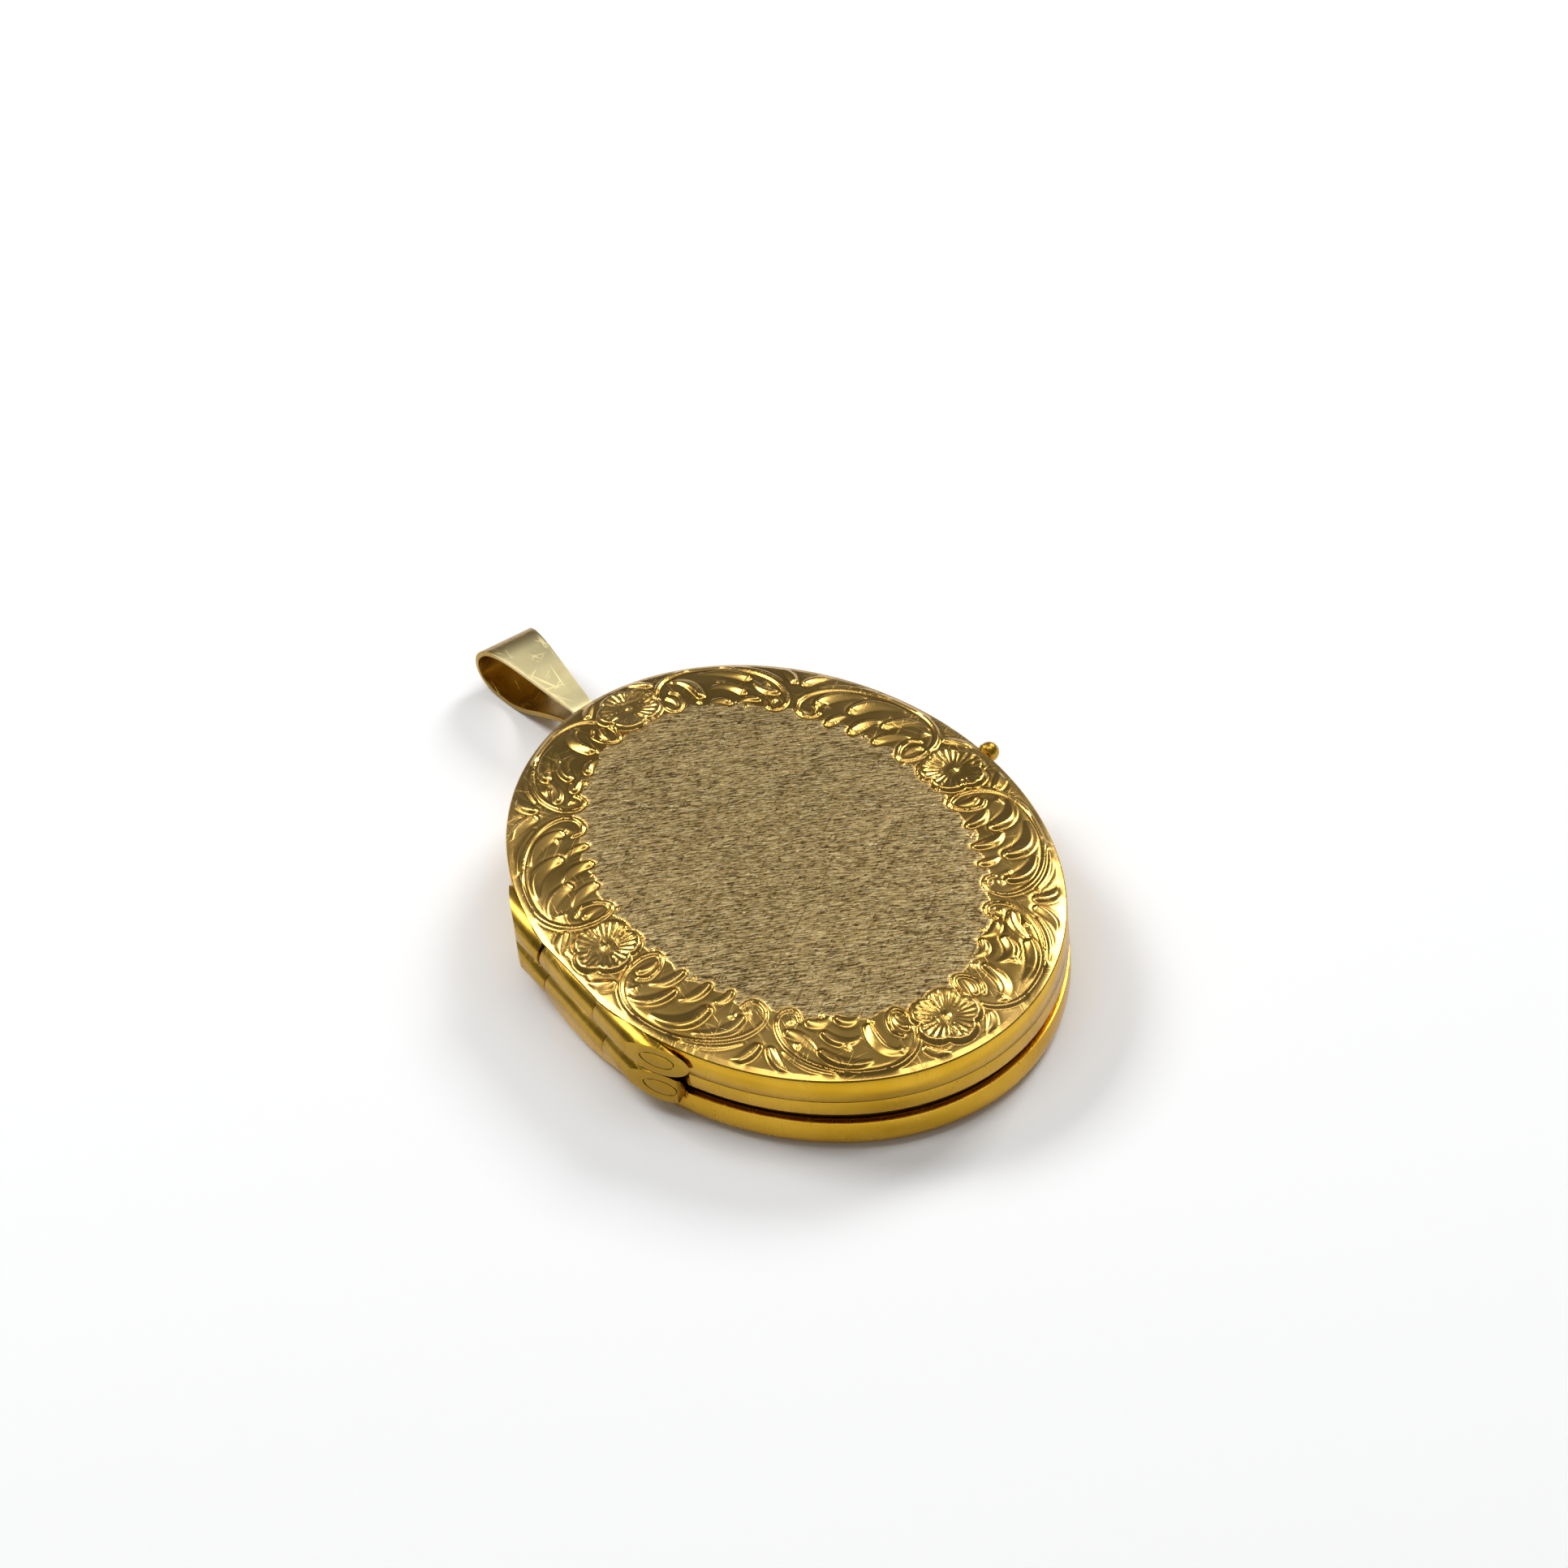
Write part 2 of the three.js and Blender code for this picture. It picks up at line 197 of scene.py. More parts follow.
def turn_oval(name, profile, points=256, closed=True):
    """Walks a ring of points through the profile's (half-length, height) steps."""
    clear_selection()
    radius, height = profile[0]
    bpy.ops.mesh.primitive_circle_add(vertices=points, radius=MM, location=(0, 0, height * MM))
    piece = bpy.context.object
    piece.name = name
    bpy.ops.object.transform_apply(location=True)
    bpy.ops.object.mode_set(mode="EDIT")
    bpy.ops.mesh.select_mode(type="VERT")
    bpy.ops.mesh.select_all(action="SELECT")
    bpy.ops.transform.resize(value=(half_width_at(radius), radius, 1), center_override=(0, 0, 0))
    if not closed:
        bpy.ops.mesh.edge_face_add()
    walk = profile[1:] + profile[:1] if closed else profile[1:]
    for next_radius, next_height in walk:
        bpy.ops.mesh.extrude_edges_move(
            TRANSFORM_OT_translate={"value": (0, 0, (next_height - height) * MM)}
        )
        widen = half_width_at(next_radius) / half_width_at(radius)
        bpy.ops.transform.resize(
            value=(widen, next_radius / radius, 1), center_override=(0, 0, next_height * MM)
        )
        radius, height = next_radius, next_height
    if not closed:
        bpy.ops.mesh.edge_face_add()
    bpy.ops.mesh.select_all(action="SELECT")
    bpy.ops.mesh.remove_doubles(threshold=2e-6)
    bpy.ops.mesh.normals_make_consistent(inside=False)
    bpy.ops.object.mode_set(mode="OBJECT")
    return piece


def cut_away(piece, *tools, keep=False):
    """Files the tools' shapes off the piece, or with keep leaves only what they hold."""
    for tool in tools:
        clear_selection()
        bpy.context.view_layer.objects.active = piece
        bpy.ops.object.modifier_add(type="BOOLEAN")
        modifier = piece.modifiers[-1]
        modifier.operation = "INTERSECT" if keep else "DIFFERENCE"
        modifier.solver = "MANIFOLD"
        modifier.object = tool
        bpy.ops.object.modifier_apply(modifier=modifier.name)


def throw_away(*tools):
    for tool in tools:
        bpy.data.objects.remove(tool)


def smooth_piece(piece, angle=35):
    clear_selection()
    piece.select_set(True)
    bpy.context.view_layer.objects.active = piece
    bpy.ops.object.shade_smooth_by_angle(angle=math.radians(angle))


def block_tool(x, y, z):
    """A plain cutting block between those bounds, in millimetres."""
    clear_selection()
    bpy.ops.mesh.primitive_cube_add(size=MM, location=(0, 0, 0))
    block = bpy.context.object
    block.scale = [high - low for low, high in (x, y, z)]
    block.location = [(low + high) / 2 * MM for low, high in (x, y, z)]
    bpy.ops.object.transform_apply(location=True, rotation=True, scale=True)
    return block


def round_tool(radius, y, x_centre, z_centre, points=96):
    """A round cutting bar along Y."""
    clear_selection()
    bpy.ops.mesh.primitive_cylinder_add(
        vertices=points, radius=radius * MM, depth=(y[1] - y[0]) * MM,
        location=(x_centre * MM, (y[0] + y[1]) / 2 * MM, z_centre * MM), rotation=(math.pi / 2, 0, 0),
    )
    bpy.ops.object.transform_apply(location=True, rotation=True, scale=True)
    return bpy.context.object


def hinge_channel(cover):
    """The round channel that a cover's hinge lies in, and its opening to the cover's edge."""
    z, open_to = CHANNEL_HEIGHTS[cover]
    bar = round_tool(CHANNEL_RADIUS, CHANNEL_SPAN, HINGE_X, z)
    mouth = block_tool((HINGE_X - 2, HINGE_X + CHANNEL_RADIUS), CHANNEL_SPAN, sorted((z, open_to)))
    return bar, mouth


def finish_piece(piece, body, node, material):
    """Gives the piece its finish and its body, in place of the plain solid of that name."""
    piece.data.materials.clear()
    piece.data.materials.append(material)
    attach(piece, body)
    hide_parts(node)


def new_group(name, numbers, outputs):
    """A shader group with named number inputs and their usual values."""
    group = bpy.data.node_groups.new(name, "ShaderNodeTree")
    for label, value in numbers.items():
        socket = group.interface.new_socket(label, in_out="INPUT", socket_type="NodeSocketFloat")
        socket.default_value = value
    for label in outputs:
        group.interface.new_socket(label, in_out="OUTPUT", socket_type="NodeSocketFloat")
    return group, group.nodes.new("NodeGroupInput"), group.nodes.new("NodeGroupOutput")


def in_millimetres(tree, turn=0, squeeze=(1, 1, 1)):
    """Object coordinates in millimetres, turned about Z and then squeezed."""
    place = tree.nodes.new("ShaderNodeTexCoord")
    turned = tree.nodes.new("ShaderNodeVectorRotate")
    turned.rotation_type = "Z_AXIS"
    turned.inputs["Angle"].default_value = math.radians(turn)
    scaled = tree.nodes.new("ShaderNodeVectorMath")
    scaled.operation = "MULTIPLY"
    scaled.inputs[1].default_value = [1000 * share for share in squeeze]
    tree.links.new(place.outputs["Object"], turned.inputs["Vector"])
    tree.links.new(turned.outputs["Vector"], scaled.inputs[0])
    return scaled.outputs["Vector"]


def noise_of(tree, vector, scale, detail=2, rough=0.5):
    noise = tree.nodes.new("ShaderNodeTexNoise")
    noise.inputs["Scale"].default_value = scale
    noise.inputs["Detail"].default_value = detail
    noise.inputs["Roughness"].default_value = rough
    tree.links.new(vector, noise.inputs["Vector"])
    return noise.outputs["Fac"]


def maths(tree, kind, first, second):
    """One step of arithmetic; either side may be a socket or a number."""
    math_node = tree.nodes.new("ShaderNodeMath")
    math_node.operation = kind
    for socket, value in zip(math_node.inputs, (first, second)):
        if isinstance(value, (int, float)):
            socket.default_value = value
        else:
            tree.links.new(value, socket)
    return math_node.outputs["Value"]


def range_of(tree, value, low, high, to_low=0.0, to_high=1.0):
    """The value stretched from one span to another, clamped."""
    stretch = tree.nodes.new("ShaderNodeMapRange")
    stretch.inputs["From Min"].default_value = low
    stretch.inputs["From Max"].default_value = high
    stretch.inputs["To Min"].default_value = to_low
    stretch.inputs["To Max"].default_value = to_high
    tree.links.new(value, stretch.inputs["Value"])
    return stretch.outputs["Result"]


# Hairline scratches from years of wear: thin lines in four directions, each broken up.
wear, wear_in, wear_out = new_group("hairline_wear", {"Amount": 0.5}, ["Scratch", "Cloud"])
lines = None
for turn, across in ((12, 5.0), (-38, 6.5), (67, 4.2), (-81, 7.5)):
    streak = noise_of(wear, in_millimetres(wear, turn, (0.22, across, 0.5)), 1.0, 2, 0.6)
    line = range_of(wear, streak, 0.63, 0.68)
    lines = line if lines is None else maths(wear, "MAXIMUM", lines, line)
patches = range_of(wear, noise_of(wear, in_millimetres(wear), 0.5, 3), 0.42, 0.62)
wear.links.new(
    maths(wear, "MULTIPLY", maths(wear, "MULTIPLY", lines, patches), wear_in.outputs["Amount"]),
    wear_out.inputs["Scratch"],
)
wear.links.new(noise_of(wear, in_millimetres(wear), 0.22, 4, 0.55), wear_out.inputs["Cloud"])

# The slow waves that hand polishing leaves, and small pits.
polish, polish_in, polish_out = new_group(
    "hand_polish", {"Wave": 1.0, "Pits": 1.0}, ["Height", "Pit"]
)
slow = noise_of(polish, in_millimetres(polish), 0.42, 1.5, 0.45)
fine = noise_of(polish, in_millimetres(polish), 2.3, 2, 0.5)
pit = range_of(polish, noise_of(polish, in_millimetres(polish), 3.1, 1, 0.4), 0.745, 0.80)
rolling = maths(polish, "ADD", slow, maths(polish, "MULTIPLY", fine, 0.12))
wave = maths(polish, "MULTIPLY", rolling, polish_in.outputs["Wave"])
pits = maths(polish, "MULTIPLY", pit, polish_in.outputs["Pits"])
pitted = maths(polish, "SUBTRACT", wave, maths(polish, "MULTIPLY", pits, 0.25))
polish.links.new(pitted, polish_out.inputs["Height"])
polish.links.new(pits, polish_out.inputs["Pit"])


def two_colours(tree, share, low, high):
    """A colour between low and high by the share."""
    mix = tree.nodes.new("ShaderNodeMix")
    mix.data_type = "RGBA"
    mix.clamp_factor = True
    for label, colour in (("A", low), ("B", high)):
        socket = [s for s in mix.inputs if s.name == label and s.type == "RGBA"][0]
        if isinstance(colour, tuple):
            socket.default_value = (*colour, 1)
        else:
            tree.links.new(colour, socket)
    tree.links.new(share, mix.inputs["Factor"])
    return [s for s in mix.outputs if s.type == "RGBA"][0]


def add_bump(tree, height, distance, strength=1.0, before=None):
    bump = tree.nodes.new("ShaderNodeBump")
    bump.inputs["Distance"].default_value = distance * MM
    bump.inputs["Strength"].default_value = strength
    tree.links.new(height, bump.inputs["Height"])
    if before is not None:
        tree.links.new(before, bump.inputs["Normal"])
    return bump.outputs["Normal"]


def use_group(tree, group, **numbers):
    node = tree.nodes.new("ShaderNodeGroup")
    node.node_tree = group
    for label, value in numbers.items():
        node.inputs[label].default_value = value
    return node


def metal(name):
    """A bare metal material: its node tree and its shader."""
    material = bpy.data.materials.new(name)
    material.use_nodes = True
    shader = material.node_tree.nodes["Principled BSDF"]
    shader.inputs["Metallic"].default_value = 1
    return material, material.node_tree, shader


def polished_gold(name, light, dark, rough, scratches, wave):
    material, tree, shader = metal(name)
    worn = use_group(tree, wear, Amount=scratches)
    shine = use_group(tree, polish, Wave=wave, Pits=1.0)
    colour = two_colours(tree, range_of(tree, worn.outputs["Cloud"], 0.35, 0.65), dark, light)
    darkened = maths(tree, "MULTIPLY", shine.outputs["Pit"], 0.7)
    tree.links.new(two_colours(tree, darkened, colour, (0.16, 0.08, 0.01)), shader.inputs["Base Color"])
    dull = maths(tree, "ADD", range_of(tree, worn.outputs["Cloud"], 0.3, 0.7, rough, rough * 1.7),
                 maths(tree, "MULTIPLY", worn.outputs["Scratch"], 0.22))
    tree.links.new(dull, shader.inputs["Roughness"])
    waved = add_bump(tree, shine.outputs["Height"], 0.05, 0.7)
    scratched = add_bump(tree, worn.outputs["Scratch"], 0.010, 0.6, waved)
    tree.links.new(scratched, shader.inputs["Normal"])
    return material


CASE_LIGHT = (0.74, 0.44, 0.045)
CASE_DARK = (0.62, 0.35, 0.02)
case_gold = polished_gold("polished_case_gold", CASE_LIGHT, CASE_DARK, 0.18, 0.8, 1.0)

back_profile = [(8, 0.0), (14, 0.0)]
for step in range(9):
    turn = step / 8 * math.pi / 2
    out = HALF_LENGTH - BACK_EDGE_ROUND * (1 - math.sin(turn))
    back_profile.append((out, BACK_EDGE_ROUND * (1 - math.cos(turn))))
back_profile += [(HALF_LENGTH, BACK_TOP - EDGE_EASE), (HALF_LENGTH - 0.03, BACK_TOP - 0.035)]
back_profile += [(HALF_LENGTH - EDGE_EASE, BACK_TOP), (INNER_WALL + 0.08, BACK_TOP)]
back_profile += [(INNER_WALL, BACK_TOP - 0.08), (INNER_WALL, SHEET + 0.15)]
back_profile += [(INNER_WALL - 0.15, SHEET), (8, SHEET)]
back_cover = turn_oval("back_cover_pan", back_profile, 320, closed=False)
back_channel = hinge_channel("back")
cut_away(back_cover, *back_channel)
throw_away(*back_channel)
smooth_piece(back_cover)
finish_piece(back_cover, "back", "back_cover", case_gold)


# ---------------------------------------------------------------------------------------------
# The picture seats. Each of the four frames holds a card, a clear window and a thin gold rim
# of L section that keeps them in. The rims are pressed in, and stop short of the knuckles.
PICTURE_RADIUS = side_of("back_picture_card", 1, 1)
RIM_OPENING = 15.2
WEB = (2.8, 3.1)
# Each seat: the height that backs its card, which way it faces, its rim's half length, its body.
PICTURE_SEATS = {
    "back": (SHEET, 1, 17.4, "back"),
    "front": (4.62, -1, 17.4, "front"),
    "middle_front": (WEB[1], 1, 16.9, "middle"),
    "middle_back": (WEB[0], -1, 16.9, "middle"),
}
# How far the faces of each piece stand off from the backing.
CARD_FACES = (0.03, 0.14)
WINDOW_FACES = (0.17, 0.37)
RIM_FACES = (0.04, 0.40, 0.56)
rim_gold = polished_gold("inner_rim_gold", (0.90, 0.62, 0.20), (0.80, 0.50, 0.12), 0.20, 0.5, 0.6)

card_paper = bpy.data.materials.new("cream_card")
card_paper.use_nodes = True
card_tree = card_paper.node_tree
card_shader = card_tree.nodes["Principled BSDF"]
fibre = noise_of(card_tree, in_millimetres(card_tree, 20, (1, 3, 1)), 3.0, 5, 0.7)
stain = noise_of(card_tree, in_millimetres(card_tree), 0.12, 3, 0.5)
pulp = range_of(card_tree, fibre, 0.3, 0.7)
paper_colour = two_colours(card_tree, pulp, (0.70, 0.62, 0.47), (0.82, 0.76, 0.63))
foxing = range_of(card_tree, stain, 0.52, 0.75, 0, 0.5)
aged = two_colours(card_tree, foxing, paper_colour, (0.60, 0.47, 0.30))
card_tree.links.new(aged, card_shader.inputs["Base Color"])
card_tree.links.new(range_of(card_tree, fibre, 0.3, 0.7, 0.75, 0.95), card_shader.inputs["Roughness"])
card_tree.links.new(add_bump(card_tree, fibre, 0.02, 0.5), card_shader.inputs["Normal"])

clear_sheet = bpy.data.materials.new("clear_acetate")
clear_sheet.use_nodes = True
clear_tree = clear_sheet.node_tree
clear_shader = clear_tree.nodes["Principled BSDF"]
clear_shader.inputs["Transmission Weight"].default_value = 1
clear_shader.inputs["IOR"].default_value = 1.45
clear_worn = use_group(clear_tree, wear, Amount=0.6)
clear_tint = range_of(clear_tree, clear_worn.outputs["Cloud"], 0.3, 0.7)
clear_colour = two_colours(clear_tree, clear_tint, (0.95, 0.94, 0.88), (0.98, 0.98, 0.95))
clear_tree.links.new(clear_colour, clear_shader.inputs["Base Color"])
clear_haze = maths(clear_tree, "MULTIPLY", clear_worn.outputs["Scratch"], 0.3)
clear_tree.links.new(maths(clear_tree, "ADD", clear_haze, 0.03), clear_shader.inputs["Roughness"])
clear_rub = add_bump(clear_tree, clear_worn.outputs["Scratch"], 0.006, 0.5)
clear_tree.links.new(clear_rub, clear_shader.inputs["Normal"])


def plate(low, high, radius, ease):
    """An oval plate's profile from its lower middle round its eased edge to its upper middle."""
    nip = ease * 0.3
    lower = [(radius * 0.5, low), (radius - ease, low), (radius - nip, low + nip), (radius, low + ease)]
    upper = [(radius, high - ease), (radius - nip, high - nip), (radius - ease, high), (radius * 0.5, high)]
    return lower + upper


def oval_plate(name, backing, way, faces, ease):
    """A card or a window, its two faces that far off the backing."""
    low, high = sorted(backing + way * face for face in faces)
    piece = turn_oval(name, plate(low, high, PICTURE_RADIUS, ease), 192, closed=False)
    smooth_piece(piece)
    return piece


def hinge_notch(span):
    """A block that clears the frame's hinge side over that stretch of Y, at every height."""
    return block_tool((-HALF_WIDTH - 2, HINGE_X + 1.05), span, (0, 7))


for side, (backing, way, rim_outer, body) in PICTURE_SEATS.items():
    card = oval_plate(f"{side}_card", backing, way, CARD_FACES, 0.03)
    finish_piece(card, body, f"{side}_picture_card", card_paper)
    window = oval_plate(f"{side}_window", backing, way, WINDOW_FACES, 0.05)
    finish_piece(window, body, f"{side}_picture_window", clear_sheet)
    wall_inner = PICTURE_RADIUS + 0.1
    foot, under_lip, top = [backing + way * face for face in RIM_FACES]
    rim_section = [(wall_inner, foot), (rim_outer, foot), (rim_outer, top),
                   (RIM_OPENING, top), (RIM_OPENING, under_lip), (wall_inner, under_lip)]
    rim = turn_oval(f"{side}_rim", eased(rim_section, 0.05), 256)
    rim_tools = [hinge_notch(CHANNEL_SPAN)] if body == "middle" else hinge_channel(body)
    cut_away(rim, *rim_tools)
    throw_away(*rim_tools)
    smooth_piece(rim)
    finish_piece(rim, body, f"{side}_picture_rim", rim_gold)


# ---------------------------------------------------------------------------------------------
# Middle frame. A solid gold band all round with a thin web across it that backs the two inner
# pictures. The band's edges are burnished, and it is notched where the knuckles lie.
BAND_BOTTOM = side_of("middle_frame", 0, 2)
BAND_TOP = side_of("middle_frame", 1, 2)
BAND_INNER = HALF_LENGTH - 1.0
BAND_EASE = 0.16
frame_profile = [(8, WEB[0]), (BAND_INNER, WEB[0])]
frame_profile += [(BAND_INNER, BAND_BOTTOM + 0.03), (BAND_INNER + 0.03, BAND_BOTTOM)]
frame_profile += [(HALF_LENGTH - BAND_EASE, BAND_BOTTOM), (HALF_LENGTH - 0.05, BAND_BOTTOM + 0.05)]
frame_profile += [(HALF_LENGTH, BAND_BOTTOM + BAND_EASE), (HALF_LENGTH, BAND_TOP)]
frame_profile += [(HALF_LENGTH - 0.015, BAND_TOP + 0.015), (BAND_INNER + 0.03, BAND_TOP + 0.015)]
frame_profile += [(BAND_INNER, BAND_TOP - 0.03), (BAND_INNER, WEB[1]), (8, WEB[1])]
middle_frame = turn_oval("middle_frame_band", frame_profile, 320, closed=False)
frame_notch = hinge_notch(CHANNEL_SPAN)
cut_away(middle_frame, frame_notch)
throw_away(frame_notch)
smooth_piece(middle_frame)
finish_piece(middle_frame, "middle", "middle_frame", case_gold)


# ---------------------------------------------------------------------------------------------
# The lips and their snibs. A thin gold strip soldered on each side of the frame, which the
# covers close over, and a small bar let into each at the opening side that a cover snaps past.
LIP_OUTER = HALF_LENGTH - 0.52
LIP_INNER = LIP_OUTER - 0.35
LIP_BREAK = (-9.4, 9.4)
SNIB_X = (LIP_INNER - HALF_LENGTH + HALF_WIDTH - 0.05, HALF_WIDTH - 0.5)
SNIB_HALF_LENGTH = 1.0
SNIB_HALF_HEIGHT = 0.12


def snib_block(z, gap=0):
    """The snib's bar, or with a gap the notch in the lip that it lies in."""
    return block_tool(
        (SNIB_X[0] - gap, SNIB_X[1] + gap),
        (-SNIB_HALF_LENGTH - gap, SNIB_HALF_LENGTH + gap),
        (z - SNIB_HALF_HEIGHT - gap, z + SNIB_HALF_HEIGHT + gap),
    )


def bevel_edges(piece, width, segments, angle=30):
    """Rounds every edge of the piece that is sharper than the angle."""
    bpy.context.view_layer.objects.active = piece
    bpy.ops.object.modifier_add(type="BEVEL")
    bevel = piece.modifiers[-1]
    bevel.width = width * MM
    bevel.segments = segments
    bevel.limit_method = "ANGLE"
    bevel.angle_limit = math.radians(angle)
    bpy.ops.object.modifier_apply(modifier=bevel.name)


# The lips sit deep in the gap between the covers and the frame; their gold is painted dark brown as painted
# shade for that gap, and is dull.
shaded_lip_gold = polished_gold(
    "lip_gold_painted_shade", (0.30, 0.17, 0.02), (0.20, 0.11, 0.01), 0.40, 0.5, 0.6
)
lip_break = hinge_notch(LIP_BREAK)
for side, low, high, snib_z in (("front", 3.48, 3.95, 3.725), ("back", 1.45, 2.42, 1.675)):
    lip_section = [(LIP_INNER, low), (LIP_OUTER, low), (LIP_OUTER, high), (LIP_INNER, high)]
    lip = turn_oval(f"{side}_lip", eased(lip_section, 0.08), 320)
    snib_notch = snib_block(snib_z, gap=0.03)
    cut_away(lip, lip_break, snib_notch)
    throw_away(snib_notch)
    smooth_piece(lip)
    finish_piece(lip, "middle", f"middle_{side}_lip", shaded_lip_gold)
    snib = snib_block(snib_z)
    snib.name = f"{side}_snib"
    bevel_edges(snib, 0.07, 4)
    smooth_piece(snib)
    finish_piece(snib, "middle", f"{side}_catch_snib", rim_gold)
throw_away(lip_break)


# ---------------------------------------------------------------------------------------------
# The two hinges. Each has three drawn tubes on one pin: the long outer ones soldered to the
# cover, the centre one to the frame. Tube ends and pin ends are filed to the case's outline.
KNUCKLE_RADIUS = 0.96
PIN_RADIUS = 0.45
TUBE_BORE = 0.5
FILED_CENTRE = (0.75, -0.2)
FILED_RADIUS = 15.6
# Hinge gold: scratched and waved by wear, and painted darker than the case gold as painted shade.
hinge_gold = polished_gold("worn_and_shaded_hinge_gold", (0.60, 0.37, 0.055), (0.42, 0.24, 0.02), 0.22, 1.0, 1.3)
clear_selection()
bpy.ops.mesh.primitive_cylinder_add(vertices=720, radius=FILED_RADIUS * MM, depth=16 * MM,
                                    location=(FILED_CENTRE[0] * MM, FILED_CENTRE[1] * MM, 3 * MM))
bpy.ops.object.transform_apply(location=True, rotation=True, scale=True)
filed_shape = bpy.context.object


def hinge_piece(name, radius, span, z, bore=0):
    """A tube or a pin along the hinge, with its ends filed to the case's outline."""
    piece = round_tool(radius, span, HINGE_X, z, 96)
    piece.name = name
    if bore:
        drill = round_tool(bore, (span[0] - 1, span[1] + 1), HINGE_X, z, 64)
        cut_away(piece, drill)
        throw_away(drill)
    cut_away(piece, filed_shape, keep=True)
    bevel_edges(piece, 0.035, 2, 38)
    smooth_piece(piece, 30)
    return piece


# Each hinge: its height, the ends of its outer tubes, the ends of its centre tube, the upper gap.
HINGES = {
    "front": (FRONT_HINGE_Z, (-9.35, 8.05), (-2.6, 2.7), 0.25),
    "back": (BACK_HINGE_Z, (-8.4, 7.9), (-3.2, 2.6), 0.05),
}
LOWER_GAP = 0.05
for side, (hinge_z, (low_end, high_end), (low, high), upper_gap) in HINGES.items():
    centre = hinge_piece(f"{side}_centre_tube", KNUCKLE_RADIUS, (low, high), hinge_z, TUBE_BORE)
    finish_piece(centre, "middle", f"middle_{side}_knuckle", hinge_gold)
    upper_span = (high + upper_gap, high_end)
    upper = hinge_piece(f"{side}_upper_tube", KNUCKLE_RADIUS, upper_span, hinge_z, TUBE_BORE)
    finish_piece(upper, side, f"{side}_knuckle_upper", hinge_gold)
    lower_span = (low_end, low - LOWER_GAP)
    lower = hinge_piece(f"{side}_lower_tube", KNUCKLE_RADIUS, lower_span, hinge_z, TUBE_BORE)
    finish_piece(lower, side, f"{side}_knuckle_lower", hinge_gold)
    pin = hinge_piece(f"{side}_pin", PIN_RADIUS, CHANNEL_SPAN, hinge_z)
    finish_piece(pin, "middle", f"{side}_hinge_pin", hinge_gold)
throw_away(filed_shape)


# ---------------------------------------------------------------------------------------------
# Front cover. One raised sheet of gold with a straight wall, cut away for its hinge and for the
# centre knuckle. Its border is hand engraved and the centre is brushed in crossing strokes.
FRONT_RIM = 5.0
CROWN_RISE = 0.95
# How the face rises inwards: (inset from the rim, share of the whole rise).
CROWN_SHAPE = [(0, 0), (0.9, 0.24), (2.4, 0.48), (BORDER_WIDTH, 0.66), (9, 0.87), (HALF_LENGTH, 1)]
RIM_BEVEL = 0.36
RIM_SLOPE = 0.43
FACE_POINTS = 1200
BORDER_RINGS = 60
ENGRAVED_WIDTH = 5.0
GRAVER_DEPTH = 0.05


def crown_height(inset):
    """Height of the plain domed face, eased between its points."""
    insets = np.array([point[0] for point in CROWN_SHAPE], float)
    rises = np.array([point[1] for point in CROWN_SHAPE], float)
    slopes = np.gradient(rises, insets)
    slopes[-1] = 0
    inset = np.clip(inset, 0, HALF_LENGTH)
    i = np.clip(np.searchsorted(insets, inset, side="right") - 1, 0, len(insets) - 2)
    gap = insets[i + 1] - insets[i]
    s = (inset - insets[i]) / gap
    rise = (
        (2 * s ** 3 - 3 * s ** 2 + 1) * rises[i]
        + (s ** 3 - 2 * s ** 2 + s) * gap * slopes[i]
        + (3 * s ** 2 - 2 * s ** 3) * rises[i + 1]
        + (s ** 3 - s ** 2) * gap * slopes[i + 1]
    )
    return FRONT_RIM + CROWN_RISE * rise


def z_at(inset):
    return float(crown_height(np.array([inset]))[0])


def points_of(mesh):
    """The mesh's points in millimetres, a row each."""
    spots = np.zeros(len(mesh.vertices) * 3)
    mesh.vertices.foreach_get("co", spots)
    return spots.reshape(-1, 3) / MM


def edges_of(mesh):
    """The numbers of the two points that each edge joins, a row each."""
    ends = np.zeros(len(mesh.edges) * 2, int)
    mesh.edges.foreach_get("vertices", ends)
    return ends.reshape(-1, 2)


front_profile = []
for inset in (15, 11, 8, 6, ENGRAVED_WIDTH, RIM_BEVEL):
    front_profile.append((HALF_LENGTH - inset, z_at(inset)))
for inset in (RIM_BEVEL - 0.02, 0.08, 0.06):
    front_profile.append((HALF_LENGTH - inset, z_at(RIM_BEVEL) - RIM_SLOPE * (RIM_BEVEL - inset)))
front_profile.append((HALF_LENGTH, FRONT_RIM - 0.10))
front_profile += [(HALF_LENGTH, FRONT_BOTTOM), (HALF_LENGTH - 0.015, FRONT_BOTTOM - 0.02)]
front_profile += [(INNER_WALL + 0.04, FRONT_BOTTOM - 0.02), (INNER_WALL, FRONT_BOTTOM + 0.02)]
front_profile.append((INNER_WALL, FRONT_RIM - SHEET + 0.06))
for inset in (2.4, BORDER_WIDTH, 9, 15):
    front_profile.append((HALF_LENGTH - inset, z_at(inset) - SHEET))
front_cover = turn_oval("front_cover_raised", front_profile, FACE_POINTS, closed=False)
clear_selection()
bpy.context.view_layer.objects.active = front_cover
bpy.ops.object.mode_set(mode="EDIT")
bpy.ops.mesh.select_mode(type="EDGE")
bpy.ops.mesh.select_all(action="DESELECT")
bpy.ops.object.mode_set(mode="OBJECT")
face_mesh = front_cover.data
end_heights = np.sort(points_of(face_mesh)[edges_of(face_mesh)][:, :, 2], axis=1)
border_heights = np.array([z_at(RIM_BEVEL), z_at(ENGRAVED_WIDTH)])
crosses_border = (np.abs(end_heights - border_heights) < 1e-3).all(axis=1)
face_mesh.edges.foreach_set("select", crosses_border)
bpy.ops.object.mode_set(mode="EDIT")
bpy.ops.mesh.subdivide(number_cuts=BORDER_RINGS - 1, quadcorner="INNERVERT")
bpy.ops.object.mode_set(mode="OBJECT")

